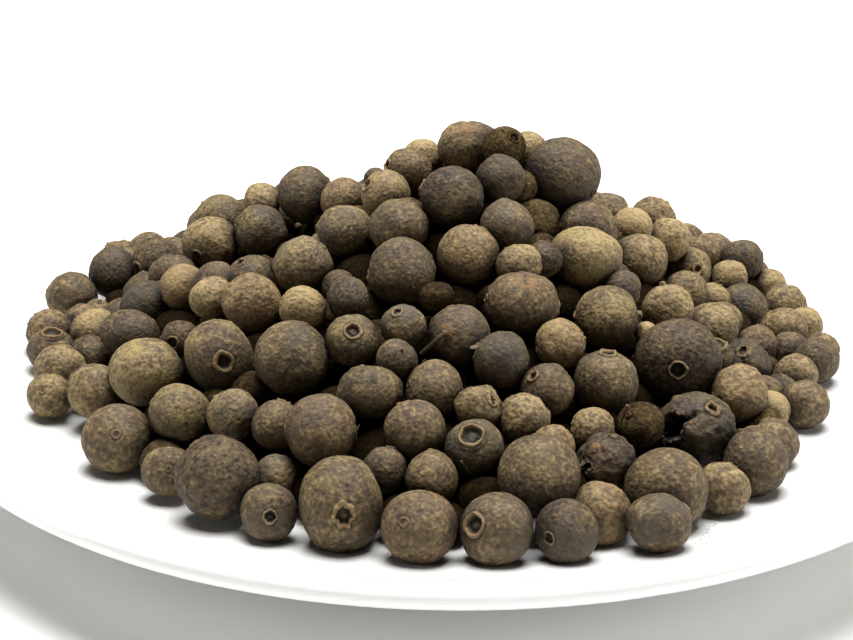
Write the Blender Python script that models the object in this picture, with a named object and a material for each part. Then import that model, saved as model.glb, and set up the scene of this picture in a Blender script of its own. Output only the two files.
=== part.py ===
"""Dish of allspice berries.

A shallow glazed porcelain dish, 132 mm across, carries a loose heap of dried allspice
berries. There are two solids: the dish, and the heap out to its uneven outline, which is
a domed core with the berries that show fused on at their real size.

World frame: metres, +Z up. The foot ring stands on z = 0 and the dish's axis is the Z
axis. The photograph looks along +Y, so the heap's front is its -Y side.
"""

import math

import bmesh
import bpy
import numpy as np
from mathutils import Euler, Vector

MM = 0.001
MERGE_DISTANCE = 0.01 * MM

# Dish. Radii are from its axis, heights are above the table.
DISH_RADIUS = 66 * MM
WELL_HEIGHT = 8.2 * MM
WELL_RADIUS = 46 * MM
LIP_SLOPE = math.radians(25)
LIP_ROUNDING = 1.15 * MM
FOOT_OUTER = 40 * MM
FOOT_INNER = 36 * MM
FOOT_CHAMFER = 0.5 * MM
FOOT_TAPER = 0.6 * MM
DISH_SEGMENTS = 56
LIP_STEPS = 5
WALL_STEPS = 4
DISH_CREASE = math.radians(35)     # faces that meet at more than this keep a sharp edge
PORCELAIN = (0.86, 0.86, 0.85)
PORCELAIN_ROUGHNESS = 0.12

# Heap. Its outline is a dome over its middle, which lies a little off the dish's axis.
HEAP_X = -2.4 * MM
HEAP_Y = -4.6 * MM
HEAP_RADIUS = 50.3 * MM
FRONT_REACH = 3 * MM               # how much further the heap spreads towards -Y
FRONT_POINT = 4                    # power by which that extra reach narrows to the front
HEAP_HEIGHT = 21 * MM
DOME_POWER = 1.67
PEAK = (11.2 * MM, 3.2 * MM, 9.2 * MM, 10.3 * MM)  # x, y, height and width of the peak
HOLLOWS = (                                        # the same for the flanks, which dip
    (-41.3 * MM, 3.2 * MM, -3.2 * MM, 13.3 * MM),
    (28 * MM, -0.9 * MM, -4.7 * MM, 15.5 * MM),
)
GAP = 0.3 * MM                                     # clearance between heap and dish

# Berries that no one can see in the photograph, drawn at random
SEED = 7
MEAN_RADIUS = 2.65 * MM
RADIUS_SPREAD = 0.5 * MM
RADIUS_LIMITS = (1.9 * MM, 4.2 * MM)
LAYER_DEPTHS = (0.0, 4.4 * MM)     # outer layer, and the layer that shows in its gaps
THROWS = 5000
THROW_SPACING = 0.84               # least spacing of two thrown berries, as a share of touching
COVERED_SHARE = 0.62               # a berry thrown in front of a seen one has its middle outside
COVERING_SHARE = 0.9               # this share of that disc, and that middle outside this of its own
MOST_SHOWN = 0.4                   # share of an outer thrown berry that the picture may show
WORST_OVERLAP = 0.4 * MM           # a settled berry that still overlaps more is taken out
SETTLE_STEPS = 160
SINK = 0.05 * MM                   # how far a berry drops in one step
PROUD = 0.4 * MM                   # how far a settled berry may stand out of its layer
SUNK = 0.9 * MM                    # how far it may sink below its layer
SIDEWAYS = 0.04                    # share of a sideways push that a seen berry gives way to
ON_DISH = 0.3 * MM                 # a seen berry that starts as low as this lies on the dish

# Camera of the photograph, in pixels of its 853 x 640 frame
IMAGE_MIDDLE = (426.5, 320.0)
HEAP_PIXEL = (432.0, 345.0)        # where the middle of the heap's base shows
FOCAL_PIXELS = 1382.0
CAMERA_DISTANCE = 175 * MM
CAMERA_ELEVATION = math.radians(24)
NEAREST, FARTHEST = 100 * MM, 260 * MM
SIGHT_STEPS = 1601
BACK_LIMIT = 12 * MM               # a berry on the skyline sits no further back than this
SIDE_ROW = 380.0                   # the skyline's row to the left and right of the heap
SKYLINE_SHARES = (-0.8, -0.4, 0.0, 0.4, 0.8)   # where across a berry its top is held under the skyline
SIGHT_CHECKS = 60
BURIED = 1 * MM                    # a line of sight this far inside the heap is blocked
SPOTS = 6                          # points in each ring that tests what covers a berry
SPOT_RINGS = (0.33, 0.8)           # the rings' radii as shares of the berry's

# The berries that the photograph shows, by hand: column, row and width in its pixels
SEEN_BERRIES = {
    "left": [
        (72, 297, 47), (114, 273, 50), (157, 262, 48), (211, 243, 54), (147, 306, 52),
        (184, 288, 47), (214, 298, 44), (50, 333, 45), (51, 349, 44), (95, 333, 50),
        (130, 334, 54), (60, 370, 50), (50, 396, 47), (96, 391, 54), (146, 372, 68),
        (180, 340, 38), (219, 357, 71),
    ],
    "front_left": [
        (117, 437, 68), (180, 413, 60), (233, 415, 51), (168, 471, 50), (219, 477, 82),
        (277, 425, 50), (320, 430, 70), (275, 477, 47), (268, 508, 58), (341, 500, 88),
        (384, 470, 46), (370, 392, 60), (415, 430, 60), (432, 479, 55), (434, 391, 58),
        (419, 527, 72),
    ],
    "front_right": [
        (474, 447, 55), (478, 408, 44), (524, 420, 51), (552, 446, 44), (539, 475, 78),
        (593, 430, 45), (608, 462, 54), (641, 425, 48), (496, 529, 70),
        (567, 530, 62), (600, 515, 61), (659, 521, 60), (665, 486, 80),
    ],
    "right": [
        (677, 360, 81), (697, 430, 75), (738, 393, 55), (754, 457, 64), (775, 443, 46),
        (723, 490, 52), (804, 408, 47), (815, 365, 46), (796, 372, 44), (745, 365, 50),
        (770, 410, 38),
    ],
    "upper_left": [
        (221, 222, 54), (262, 203, 38), (260, 230, 50), (306, 195, 56), (343, 200, 44),
        (386, 195, 49), (345, 231, 55), (399, 228, 57), (303, 266, 58), (249, 280, 46),
        (252, 303, 58), (303, 309, 45), (348, 298, 42),
    ],
    "top": [
        (471, 147, 58), (503, 148, 42), (562, 173, 72), (422, 160, 42), (408, 171, 46),
        (376, 180, 24), (453, 197, 62), (500, 179, 48), (507, 226, 51), (588, 231, 58),
        (605, 215, 44), (586, 258, 63), (469, 256, 62), (402, 272, 65), (518, 266, 44),
        (543, 260, 38), (521, 302, 67), (609, 318, 66),
    ],
    "middle": [
        (292, 358, 74), (352, 340, 50), (404, 327, 45), (397, 360, 41), (460, 336, 61),
        (501, 360, 57), (560, 344, 49), (547, 390, 51), (606, 382, 61),
    ],
    "upper_right": [
        (653, 220, 44), (668, 240, 44), (632, 228, 40), (639, 260, 53), (690, 268, 44),
        (703, 255, 38), (741, 263, 42), (765, 284, 36), (730, 277, 36), (743, 302, 48),
        (686, 293, 42), (712, 300, 34), (668, 310, 51), (712, 328, 52), (785, 305, 40),
        (785, 326, 46), (803, 331, 36), (757, 346, 40), (620, 288, 38), (647, 335, 24),
    ],
    "between": [(437, 297, 32), (527, 152, 40)],
}
# Pairs of them by their number in that order: the first lies in front of the second
IN_FRONT = (
    (3, 57), (74, 73), (99, 80), (98, 97), (99, 97), (101, 102), (105, 103), (112, 111),
    (112, 113), (21, 20), (21, 24), (51, 49), (71, 118), (72, 118),
)

# Faceting and finish of the heap's solid
CORE_DEPTH = 1.0 * MM              # core below the middles of the outer berries
CORE_INSET = 3.2 * MM              # core's edge inside the heap's edge
CORE_RINGS = 9
CORE_SECTORS = 30
SHOWING = 0.5                      # share of its radius by which a fused berry stands proud
LARGE_RADIUS = 3.5 * MM
BERRY_FACETS = (5, 4)              # segments and rings of a berry
LARGE_FACETS = (7, 5)              # the same for a large one
HEAP_CREASE = math.radians(60)
BERRY_SKIN = (0.12, 0.085, 0.05)
SKIN_ROUGHNESS = 0.85


def clear_scene():
    """Remove every object that the file opened with."""
    for item in list(bpy.data.objects):
        bpy.data.objects.remove(item, do_unlink=True)


def finish_material(name, colour, roughness):
    """A Principled BSDF with a colour and a roughness; nothing here is metal."""
    material = bpy.data.materials.new(name)
    material.use_nodes = True
    shader = material.node_tree.nodes["Principled BSDF"]
    shader.inputs["Base Color"].default_value = (*colour, 1.0)
    shader.inputs["Roughness"].default_value = roughness
    shader.inputs["Metallic"].default_value = 0.0
    return material


def add_object(name, mesh, material):
    """Put a mesh in the scene as an object of its own."""
    item = bpy.data.objects.new(name, mesh)
    item.data.materials.append(material)
    bpy.context.scene.collection.objects.link(item)
    return item


def lip_start():
    """Distance from the axis at which the dish's inner wall runs into the lip."""
    return DISH_RADIUS - LIP_ROUNDING - LIP_ROUNDING * math.sin(LIP_SLOPE)


def dish_top(distance):
    """Height of the dish's upper face at a distance from its axis."""
    climb = np.maximum(distance - WELL_RADIUS, 0.0)
    return WELL_HEIGHT + math.tan(LIP_SLOPE) * climb**2 / (2 * (lip_start() - WELL_RADIUS))


def dish_profile():
    """Outline of the dish's section, from the axis below to the axis above."""
    lip_x = DISH_RADIUS - LIP_ROUNDING
    lip_z = dish_top(lip_start()) - LIP_ROUNDING * math.cos(LIP_SLOPE)
    under_x = lip_x + LIP_ROUNDING * math.sin(LIP_SLOPE)
    under_z = lip_z - LIP_ROUNDING * math.cos(LIP_SLOPE)
    base_z = under_z - math.tan(LIP_SLOPE) * (under_x - FOOT_OUTER) / 2
    points = [
        (0.0, base_z),
        (FOOT_INNER - FOOT_TAPER, base_z),
        (FOOT_INNER, FOOT_CHAMFER),
        (FOOT_INNER + FOOT_CHAMFER, 0.0),
        (FOOT_OUTER - FOOT_CHAMFER - FOOT_TAPER, 0.0),
        (FOOT_OUTER - FOOT_TAPER, FOOT_CHAMFER),
    ]
    for step in range(WALL_STEPS):
        share = step / WALL_STEPS
        x = FOOT_OUTER + share * (under_x - FOOT_OUTER)
        points.append((x, base_z + share**2 * (under_z - base_z)))
    for step in range(LIP_STEPS + 1):
        angle = LIP_SLOPE - math.pi / 2 + math.pi * step / LIP_STEPS
        x = lip_x + LIP_ROUNDING * math.cos(angle)
        points.append((x, lip_z + LIP_ROUNDING * math.sin(angle)))
    for step in range(1, WALL_STEPS + 1):
        x = lip_start() + (WELL_RADIUS - lip_start()) * step / WALL_STEPS
        points.append((x, float(dish_top(x))))
    points.append((0.0, WELL_HEIGHT))
    return points


def build_dish():
    """Turn the section round the Z axis."""
    work = bmesh.new()
    corners = [work.verts.new((x, 0.0, z)) for x, z in dish_profile()]
    outline = [work.edges.new(pair) for pair in zip(corners, corners[1:])]
    bmesh.ops.spin(
        work, geom=corners + outline, cent=(0, 0, 0), axis=(0, 0, 1), angle=2 * math.pi,
        steps=DISH_SEGMENTS, use_merge=True,
    )
    bmesh.ops.remove_doubles(work, verts=work.verts, dist=MERGE_DISTANCE)
    bmesh.ops.recalc_face_normals(work, faces=work.faces)
    mesh = bpy.data.meshes.new("dish")
    work.to_mesh(mesh)
    work.free()
    mesh.shade_smooth()
    mesh.set_sharp_from_angle(angle=DISH_CREASE)
    porcelain = finish_material("glazed_porcelain", PORCELAIN, PORCELAIN_ROUGHNESS)
    return add_object("dish", mesh, porcelain)


def camera_frame():
    """The camera's place and its right, up and forward directions."""
    across = (HEAP_PIXEL[0] - IMAGE_MIDDLE[0]) / FOCAL_PIXELS
    down = (HEAP_PIXEL[1] - IMAGE_MIDDLE[1]) / FOCAL_PIXELS
    pitch = CAMERA_ELEVATION - math.atan(down)
    yaw = -math.atan(across)
    forward = np.array([
        math.sin(yaw) * math.cos(pitch), math.cos(yaw) * math.cos(pitch), -math.sin(pitch),
    ])
    right = np.array([math.cos(yaw), -math.sin(yaw), 0.0])
    up = np.cross(right, forward)
    sight = across * right - down * up + forward
    middle = np.array([HEAP_X, HEAP_Y, WELL_HEIGHT])
    return middle - CAMERA_DISTANCE * sight / np.linalg.norm(sight), right, up, forward


def bump(x, y, shape):
    """A smooth rise of the heap's dome, or a dip in it."""
    away = (x - HEAP_X - shape[0])**2 + (y - HEAP_Y - shape[1])**2
    return shape[2] * np.exp(-away / (2 * shape[3]**2))


def resting_height(x, y, radius):
    """Height of the middle of a berry of this radius that lies on the dish."""
    return dish_top(np.hypot(x, y)) + radius


def heap_edge(x, y):
    """Distance from the heap's middle to its edge, in the direction of a point."""
    distance = np.maximum(np.hypot(x - HEAP_X, y - HEAP_Y), MM)
    front = np.maximum((HEAP_Y - y) / distance, 0.0)
    return HEAP_RADIUS + FRONT_REACH * front**FRONT_POINT


def outer_height(x, y, radius):
    """Height of the middle of a berry of this radius that lies on the heap's outside."""
    share = np.hypot(x - HEAP_X, y - HEAP_Y) / (heap_edge(x, y) - radius)
    dome = (HEAP_HEIGHT - 2 * radius) * (1 - share**DOME_POWER)
    dome += radius + sum(bump(x, y, shape) for shape in (PEAK, *HOLLOWS))
    return np.maximum(WELL_HEIGHT + dome, resting_height(x, y, radius))


def seen_berries(camera):
    """Middles, radii and sight lines of the berries that the photograph shows."""
    place, right, up, forward = camera
    depths = np.linspace(NEAREST, FARTHEST, SIGHT_STEPS)
    middles, radii, sights = [], [], []
    for column, row, width in [berry for group in SEEN_BERRIES.values() for berry in group]:
        across = (column - IMAGE_MIDDLE[0]) / FOCAL_PIXELS
        down = (row - IMAGE_MIDDLE[1]) / FOCAL_PIXELS
        sight = across * right - down * up + forward
        points = place + depths[:, None] * sight
        sizes = width * depths / FOCAL_PIXELS / 2
        above = points[:, 2] - outer_height(points[:, 0], points[:, 1], sizes)
        in_front = points[:, 1] < HEAP_Y + BACK_LIMIT
        reached = np.nonzero((above <= 0) & in_front)[0]
        index = reached[0] if len(reached) else int(np.argmin(np.where(in_front, above, 1.0)))
        middles.append(points[index])
        radii.append(sizes[index])
        sights.append(sight / np.linalg.norm(sight))
    return order_pairs(place, np.array(middles), np.array(radii), np.array(sights))


def order_pairs(place, middles, radii, sights):
    """Swap the distances of two berries where the wrong one would lie in front."""
    away = np.linalg.norm(middles - place, axis=1)
    for front, back in IN_FRONT:
        if away[front] > away[back]:
            swapped = away[back], away[front]
            for index, distance in zip((front, back), swapped):
                radii[index] *= distance / away[index]
                away[index] = distance
                middles[index] = place + distance * sights[index]
    return middles, radii, sights


def picture_discs(camera, middles, radii):
    """Column, row, depth and radius in pixels of each berry as the camera sees it."""
    place, right, up, forward = camera
    offset = middles - place
    depth = offset @ forward
    column = IMAGE_MIDDLE[0] + FOCAL_PIXELS * (offset @ right) / depth
    row = IMAGE_MIDDLE[1] - FOCAL_PIXELS * (offset @ up) / depth
    return np.stack([column, row, depth, FOCAL_PIXELS * radii / depth], axis=1)


def behind_heap(camera, middle, radius):
    """Whether the heap itself hides the middle of a berry from the camera."""
    steps = np.linspace(NEAREST / np.linalg.norm(middle - camera[0]), 1.0, SIGHT_CHECKS)
    points = camera[0] + steps[:, None] * (middle - camera[0])
    return (points[:, 2] < outer_height(points[:, 0], points[:, 1], radius) - BURIED).any()


def shown_share(disc, seen):
    """Share of a berry's disc that no seen berry in front of it covers."""
    turns = 2 * math.pi * np.arange(SPOTS) / SPOTS
    ring = np.stack([np.cos(turns), np.sin(turns)], axis=1)
    spots = disc[:2] + disc[3] * np.concatenate([ring * share for share in SPOT_RINGS])
    apart = np.linalg.norm(spots[:, None] - seen[:, :2], axis=2)
    return 1 - ((apart < seen[:, 3]) & (seen[:, 2] < disc[2])).any(axis=1).mean()


def covers_seen(disc, seen):
    """Whether a berry stands in front of one that the photograph shows."""
    apart = np.hypot(seen[:, 0] - disc[0], seen[:, 1] - disc[1])
    reach = np.maximum(COVERED_SHARE * seen[:, 3], COVERING_SHARE * disc[3])
    return ((apart < reach) & (disc[2] < seen[:, 2] + MM)).any()


def below_skyline(camera, seen, middles, radii):
    """Lower berries that would stand above the heap's outline in the picture."""
    discs = picture_discs(camera, middles, radii)
    excess = np.zeros(len(discs))
    for share in SKYLINE_SHARES:
        aside = np.abs(discs[:, None, 0] + share * discs[:, None, 3] - seen[:, 0])
        tops = seen[:, 1] - np.sqrt(np.maximum(seen[:, 3]**2 - aside**2, 0.0))
        skyline = np.where(aside < seen[:, 3], tops, SIDE_ROW).min(axis=1)
        top = discs[:, 1] - math.sqrt(1 - share**2) * discs[:, 3]
        excess = np.maximum(excess, skyline - top)
    drop = excess * discs[:, 2] / FOCAL_PIXELS / math.cos(CAMERA_ELEVATION)
    return middles - drop[:, None] * (0.0, 0.0, 1.0)


def throw_layer(draw, camera, seen, middles, radii, below):
    """Fill one layer of the heap with berries, the largest first, where there is room."""
    middles, radii = list(middles), list(radii)
    sizes = draw.normal(MEAN_RADIUS, RADIUS_SPREAD, THROWS).clip(*RADIUS_LIMITS)
    for radius in np.sort(sizes)[::-1]:
        turn = draw.uniform(0, 2 * math.pi)
        share = math.sqrt(draw.uniform(0, 1))
        edge = heap_edge(HEAP_X + math.cos(turn), HEAP_Y + math.sin(turn))
        x = HEAP_X + share * (edge - radius - below) * math.cos(turn)
        y = HEAP_Y + share * (edge - radius - below) * math.sin(turn)
        middle = np.array([x, y, outer_height(x, y, radius) - below])
        middle = below_skyline(camera, seen, middle[None], np.array([radius]))[0]
        middle[2] = max(middle[2], resting_height(x, y, radius))
        spacing = np.linalg.norm(np.array(middles) - middle, axis=1)
        if (spacing < THROW_SPACING * (np.array(radii) + radius)).any():
            continue
        disc = picture_discs(camera, middle[None], np.array([radius]))[0]
        if covers_seen(disc, seen):
            continue
        hidden = below > 0.0 or behind_heap(camera, middle, radius)
        if not hidden and shown_share(disc, seen) > MOST_SHOWN:
            continue
        middles.append(middle)
        radii.append(radius)
    return np.array(middles), np.array(radii)


def overlap_pushes(middles, radii):
    """How far each berry has to move to come out of its neighbours."""
    alone = np.eye(len(middles), dtype=bool)
    apart = middles[:, None] - middles[None]
    spacing = np.linalg.norm(apart, axis=2)
    spacing[alone] = 1.0
    overlap = np.maximum(radii[:, None] + radii[None] - spacing, 0.0)
    overlap[alone] = 0.0
    pushes = (apart * (overlap / spacing / 2)[..., None]).sum(axis=1)
    return pushes / np.sqrt(np.maximum((overlap > 0).sum(axis=1), 1))[:, None]


def settle_seen(middles, radii, sights):
    """Part the seen berries along their sight lines, and those on the dish along it."""
    middles = middles.copy()
    floor = resting_height(middles[:, 0], middles[:, 1], radii)
    on_dish = middles[:, 2] < floor + ON_DISH
    ways = sights * np.where(on_dish[:, None], (1.0, 1.0, 0.0), 1.0)
    ways /= np.linalg.norm(ways, axis=1, keepdims=True)
    for _ in range(SETTLE_STEPS):
        pushes = overlap_pushes(middles, radii)
        along = (pushes * ways).sum(axis=1, keepdims=True) * ways
        middles += along + SIDEWAYS * (pushes - along)
        floor = resting_height(middles[:, 0], middles[:, 1], radii)
        middles[:, 2] = np.where(on_dish, floor, np.maximum(middles[:, 2], floor))
    return middles


def settle_unseen(camera, seen, middles, radii, depths):
    """Let the berries of each layer sink and slide between the seen ones, which stay."""
    middles = middles.copy()
    count = len(middles) - len(depths)
    sizes = radii[count:]
    for _ in range(SETTLE_STEPS):
        loose = middles[count:]
        loose += overlap_pushes(middles, radii)[count:]
        layer = outer_height(loose[:, 0], loose[:, 1], sizes) - depths
        loose[:, 2] = (loose[:, 2] - SINK).clip(layer - SUNK, layer + PROUD)
        loose[:] = below_skyline(camera, seen, loose, sizes)
        offset = loose[:, :2] - (HEAP_X, HEAP_Y)
        limit = heap_edge(loose[:, 0], loose[:, 1]) - sizes - depths
        limit = np.minimum(limit / np.hypot(*offset.T), 1.0)
        loose[:, :2] -= offset * (1 - limit)[:, None]
        floor = resting_height(loose[:, 0], loose[:, 1], sizes)
        loose[:, 2] = np.maximum(loose[:, 2], floor)
    return middles


def drop_misfits(camera, seen, middles, radii, depths):
    """Take out the unseen berries that found no room, or came out where they show."""
    spacing = np.linalg.norm(middles[:, None] - middles[None], axis=2)
    overlap = radii[:, None] + radii[None] - spacing
    discs = picture_discs(camera, middles, radii)
    kept = list(range(len(seen)))
    for index, below in enumerate(depths, start=len(seen)):
        if overlap[index, kept].max() > WORST_OVERLAP or covers_seen(discs[index], seen):
            continue
        hidden = below > 0.0 or behind_heap(camera, middles[index], radii[index])
        if hidden or shown_share(discs[index], seen) < MOST_SHOWN:
            kept.append(index)
    return middles[kept], radii[kept]


def arrange_berries():
    """Middles and radii of all berries of the outer layers."""
    draw = np.random.default_rng(SEED)
    camera = camera_frame()
    middles, radii, sights = seen_berries(camera)
    middles = settle_seen(middles, radii, sights)
    seen = picture_discs(camera, middles, radii)
    depths = []
    for below in LAYER_DEPTHS:
        count = len(middles)
        middles, radii = throw_layer(draw, camera, seen, middles, radii, below)
        depths += [below] * (len(middles) - count)
    middles = settle_unseen(camera, seen, middles, radii, np.array(depths))
    return drop_misfits(camera, seen, middles, radii, depths)


def core_height(x, y):
    """Height of the core's upper face."""
    return outer_height(x, y, MEAN_RADIUS) - CORE_DEPTH


def build_core(material):
    """The heap's inside: a dome that stands just clear of the dish."""
    work = bmesh.new()
    rings = []
    for ring in range(1, CORE_RINGS + 1):
        corners = []
        for sector in range(CORE_SECTORS):
            turn = 2 * math.pi * (sector + ring % 2 / 2) / CORE_SECTORS
            edge = heap_edge(HEAP_X + math.cos(turn), HEAP_Y + math.sin(turn))
            reach = (edge - CORE_INSET) * ring / CORE_RINGS
            x = HEAP_X + reach * math.cos(turn)
            y = HEAP_Y + reach * math.sin(turn)
            corners.append(work.verts.new((x, y, core_height(x, y))))
        rings.append(corners)
    top = work.verts.new((HEAP_X, HEAP_Y, core_height(HEAP_X, HEAP_Y)))
    for first, second in zip(rings[0], rings[0][1:] + rings[0][:1]):
        work.faces.new((top, first, second))
    for inner, outer in zip(rings, rings[1:]):
        loops = []
        for corners in (inner, outer):
            for pair in zip(corners, corners[1:] + corners[:1]):
                loops.append(work.edges.get(pair) or work.edges.new(pair))
        bmesh.ops.bridge_loops(work, edges=loops)
    brim = [work.edges.get(pair) for pair in zip(rings[-1], rings[-1][1:] + rings[-1][:1])]
    foot = bmesh.ops.extrude_edge_only(work, edges=brim)["geom"]
    foot = [item for item in foot if isinstance(item, bmesh.types.BMVert)]
    for corner in foot:
        corner.co.z = float(dish_top(math.hypot(corner.co.x, corner.co.y))) + GAP
    bmesh.ops.holes_fill(work, edges=work.edges, sides=0)
    bmesh.ops.recalc_face_normals(work, faces=work.faces)
    mesh = bpy.data.meshes.new("berries")
    work.to_mesh(mesh)
    work.free()
    return add_object("berries", mesh, material)


def build_berry(number, middle, radius, draw, material):
    """One faceted berry, turned at random and flattened where it would meet the dish."""
    segments, rings = LARGE_FACETS if radius > LARGE_RADIUS else BERRY_FACETS
    work = bmesh.new()
    bmesh.ops.create_uvsphere(work, u_segments=segments, v_segments=rings, radius=radius)
    turn = Euler(draw.uniform(0, 2 * math.pi, 3)).to_matrix()
    for corner in work.verts:
        corner.co = turn @ corner.co + Vector(middle)
        lowest = float(dish_top(math.hypot(corner.co.x, corner.co.y))) + GAP
        corner.co.z = max(corner.co.z, lowest)
    mesh = bpy.data.meshes.new(f"berry_{number}")
    work.to_mesh(mesh)
    work.free()
    return add_object(f"berry_{number}", mesh, material)


def showing_berries():
    """The berries that stand out of the core far enough to show."""
    middles, radii = arrange_berries()
    proud = middles[:, 2] - core_height(middles[:, 0], middles[:, 1])
    return [
        (middle, radius) for middle, radius, rise in zip(middles, radii, proud)
        if rise > -SHOWING * radius
    ]


def keep_largest_body(item):
    """Drop loose scraps and fill sealed hollows, which are bodies of their own."""
    work = bmesh.new()
    work.from_mesh(item.data)
    unseen = set(work.verts)
    bodies = []
    while unseen:
        body = {unseen.pop()}
        front = list(body)
        while front:
            corner = front.pop()
            near = {edge.other_vert(corner) for edge in corner.link_edges} - body
            body |= near
            front.extend(near)
        unseen -= body
        bodies.append(body)
    largest = max(bodies, key=len)
    scraps = [corner for body in bodies if body is not largest for corner in body]
    bmesh.ops.delete(work, geom=scraps, context="VERTS")
    work.to_mesh(item.data)
    work.free()


def build_heap():
    """Fuse the berries that show onto the core."""
    skin = finish_material("dried_berry_skin", BERRY_SKIN, SKIN_ROUGHNESS)
    core = build_core(skin)
    scatter = bpy.data.collections.new("scatter")
    bpy.context.scene.collection.children.link(scatter)
    draw = np.random.default_rng(SEED)
    for number, (middle, radius) in enumerate(showing_berries()):
        berry = build_berry(number, middle, radius, draw, skin)
        bpy.context.scene.collection.objects.unlink(berry)
        scatter.objects.link(berry)
    fuse = core.modifiers.new("fuse", "BOOLEAN")
    fuse.operation = "UNION"
    fuse.operand_type = "COLLECTION"
    fuse.collection = scatter
    fuse.solver = "EXACT"
    bpy.context.view_layer.objects.active = core
    bpy.ops.object.modifier_apply(modifier=fuse.name)
    for berry in list(scatter.objects):
        bpy.data.objects.remove(berry, do_unlink=True)
    bpy.data.collections.remove(scatter)
    keep_largest_body(core)
    core.data.shade_smooth()
    core.data.set_sharp_from_angle(angle=HEAP_CREASE)
    return core


clear_scene()
build_dish()
build_heap()
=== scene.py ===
"""Looks of a dish of allspice berries.

The porcelain dish is turned anew from its solid's section, finely enough for a glaze. The
heap's solid gives way to the berries themselves: each one that the photograph shows lies
where it shows, and the rest of the heap is filled by the same rules that shaped the solid.

Row frame: metres, +Z up, the foot ring on z = 0. The photograph looks along +Y.
"""

import math

import bmesh
import bpy
import numpy as np
from mathutils import Matrix, Vector, noise


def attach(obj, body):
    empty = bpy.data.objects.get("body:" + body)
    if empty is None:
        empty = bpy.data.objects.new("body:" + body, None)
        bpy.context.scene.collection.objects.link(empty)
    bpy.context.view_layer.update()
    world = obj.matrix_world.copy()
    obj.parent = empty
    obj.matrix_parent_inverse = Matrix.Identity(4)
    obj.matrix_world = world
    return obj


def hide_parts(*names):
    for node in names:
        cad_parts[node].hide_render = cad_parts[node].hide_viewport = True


bl_info = {
    "name": "Dish of allspice berries",
    "version": (1, 0, 0),
    "blender": (4, 5, 0),
    "location": "3D View > Sidebar > Allspice",
    "description": "Models the berries, their heap, the broken bits, the dish and the stage",
    "category": "Mesh",
}

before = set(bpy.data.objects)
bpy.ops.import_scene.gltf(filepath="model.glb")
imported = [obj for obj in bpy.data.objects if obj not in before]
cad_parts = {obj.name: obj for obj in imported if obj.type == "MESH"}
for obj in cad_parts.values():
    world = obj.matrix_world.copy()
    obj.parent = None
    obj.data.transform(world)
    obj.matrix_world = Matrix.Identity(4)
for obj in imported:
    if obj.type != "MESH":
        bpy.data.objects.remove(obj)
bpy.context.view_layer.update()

MM = 0.001

# Dish. Radii are from its axis, heights are above the table.
DISH_RADIUS = 66 * MM
WELL_HEIGHT = 8.2 * MM
WELL_RADIUS = 46 * MM
LIP_SLOPE = math.radians(25)
LIP_ROUNDING = 1.15 * MM
FOOT_OUTER = 40 * MM
FOOT_INNER = 36 * MM
FOOT_CHAMFER = 0.5 * MM
FOOT_TAPER = 0.6 * MM
DISH_SEGMENTS = 180
LIP_STEPS = 14
WALL_STEPS = 12
DISH_CREASE = math.radians(35)     # faces that meet at more than this keep a sharp edge

# Heap. Its outline is a dome over its middle, which lies a little off the dish's axis.
HEAP_X = -2.4 * MM
HEAP_Y = -4.6 * MM
HEAP_RADIUS = 50.3 * MM
FRONT_REACH = 3 * MM               # how much further the heap spreads towards -Y
FRONT_POINT = 4                    # power by which that extra reach narrows to the front
HEAP_HEIGHT = 21 * MM
DOME_POWER = 1.67
PEAK = (11.2 * MM, 3.2 * MM, 9.2 * MM, 10.3 * MM)  # x, y, height and width of the peak
HOLLOWS = (                                        # the same for the flanks, which dip
    (-41.3 * MM, 3.2 * MM, -3.2 * MM, 13.3 * MM),
    (28 * MM, -0.9 * MM, -4.7 * MM, 15.5 * MM),
)
GAP = 0.3 * MM                                     # clearance between heap and dish

# Berries that no one can see in the photograph, drawn at random
SEED = 7
MEAN_RADIUS = 2.65 * MM
RADIUS_SPREAD = 0.5 * MM
RADIUS_LIMITS = (1.9 * MM, 4.2 * MM)
LAYER_DEPTHS = (0.0, 4.4 * MM)     # outer layer, and the layer that shows in its gaps
THROWS = 5000
THROW_SPACING = 0.84               # least spacing of two thrown berries, as a share of touching
# A berry thrown in front of a seen one has its middle outside the first share of that one's
# disc, and the seen one's middle lies outside the second share of its own disc.
COVERED_SHARE = 0.62
COVERING_SHARE = 0.9
MOST_SHOWN = 0.4                   # share of an outer thrown berry that the picture may show
WORST_OVERLAP = 0.4 * MM           # a settled berry that still overlaps more is taken out
SETTLE_STEPS = 160
SINK = 0.05 * MM                   # how far a berry drops in one step
PROUD = 0.4 * MM                   # how far a settled berry may stand out of its layer
SUNK = 0.9 * MM                    # how far it may sink below its layer
SIDEWAYS = 0.04                    # share of a sideways push that a seen berry gives way to
ON_DISH = 0.3 * MM                 # a seen berry that starts as low as this lies on the dish

# Camera of the photograph, in pixels of its 853 x 640 frame
IMAGE_MIDDLE = (426.5, 320.0)
HEAP_PIXEL = (432.0, 345.0)        # where the middle of the heap's base shows
FOCAL_PIXELS = 1382.0
CAMERA_DISTANCE = 175 * MM
CAMERA_ELEVATION = math.radians(24)
NEAREST, FARTHEST = 100 * MM, 260 * MM
SIGHT_STEPS = 1601
BACK_LIMIT = 12 * MM               # a berry on the skyline sits no further back than this
SIDE_ROW = 380.0                   # the skyline's row to the left and right of the heap
SKYLINE_SHARES = (-0.8, -0.4, 0.0, 0.4, 0.8)   # where across a berry it is held under the skyline
SIGHT_CHECKS = 60
BURIED = 1 * MM                    # a line of sight this far inside the heap is blocked
SPOTS = 6                          # points in each ring that tests what covers a berry
SPOT_RINGS = (0.33, 0.8)           # the rings' radii as shares of the berry's

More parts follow.
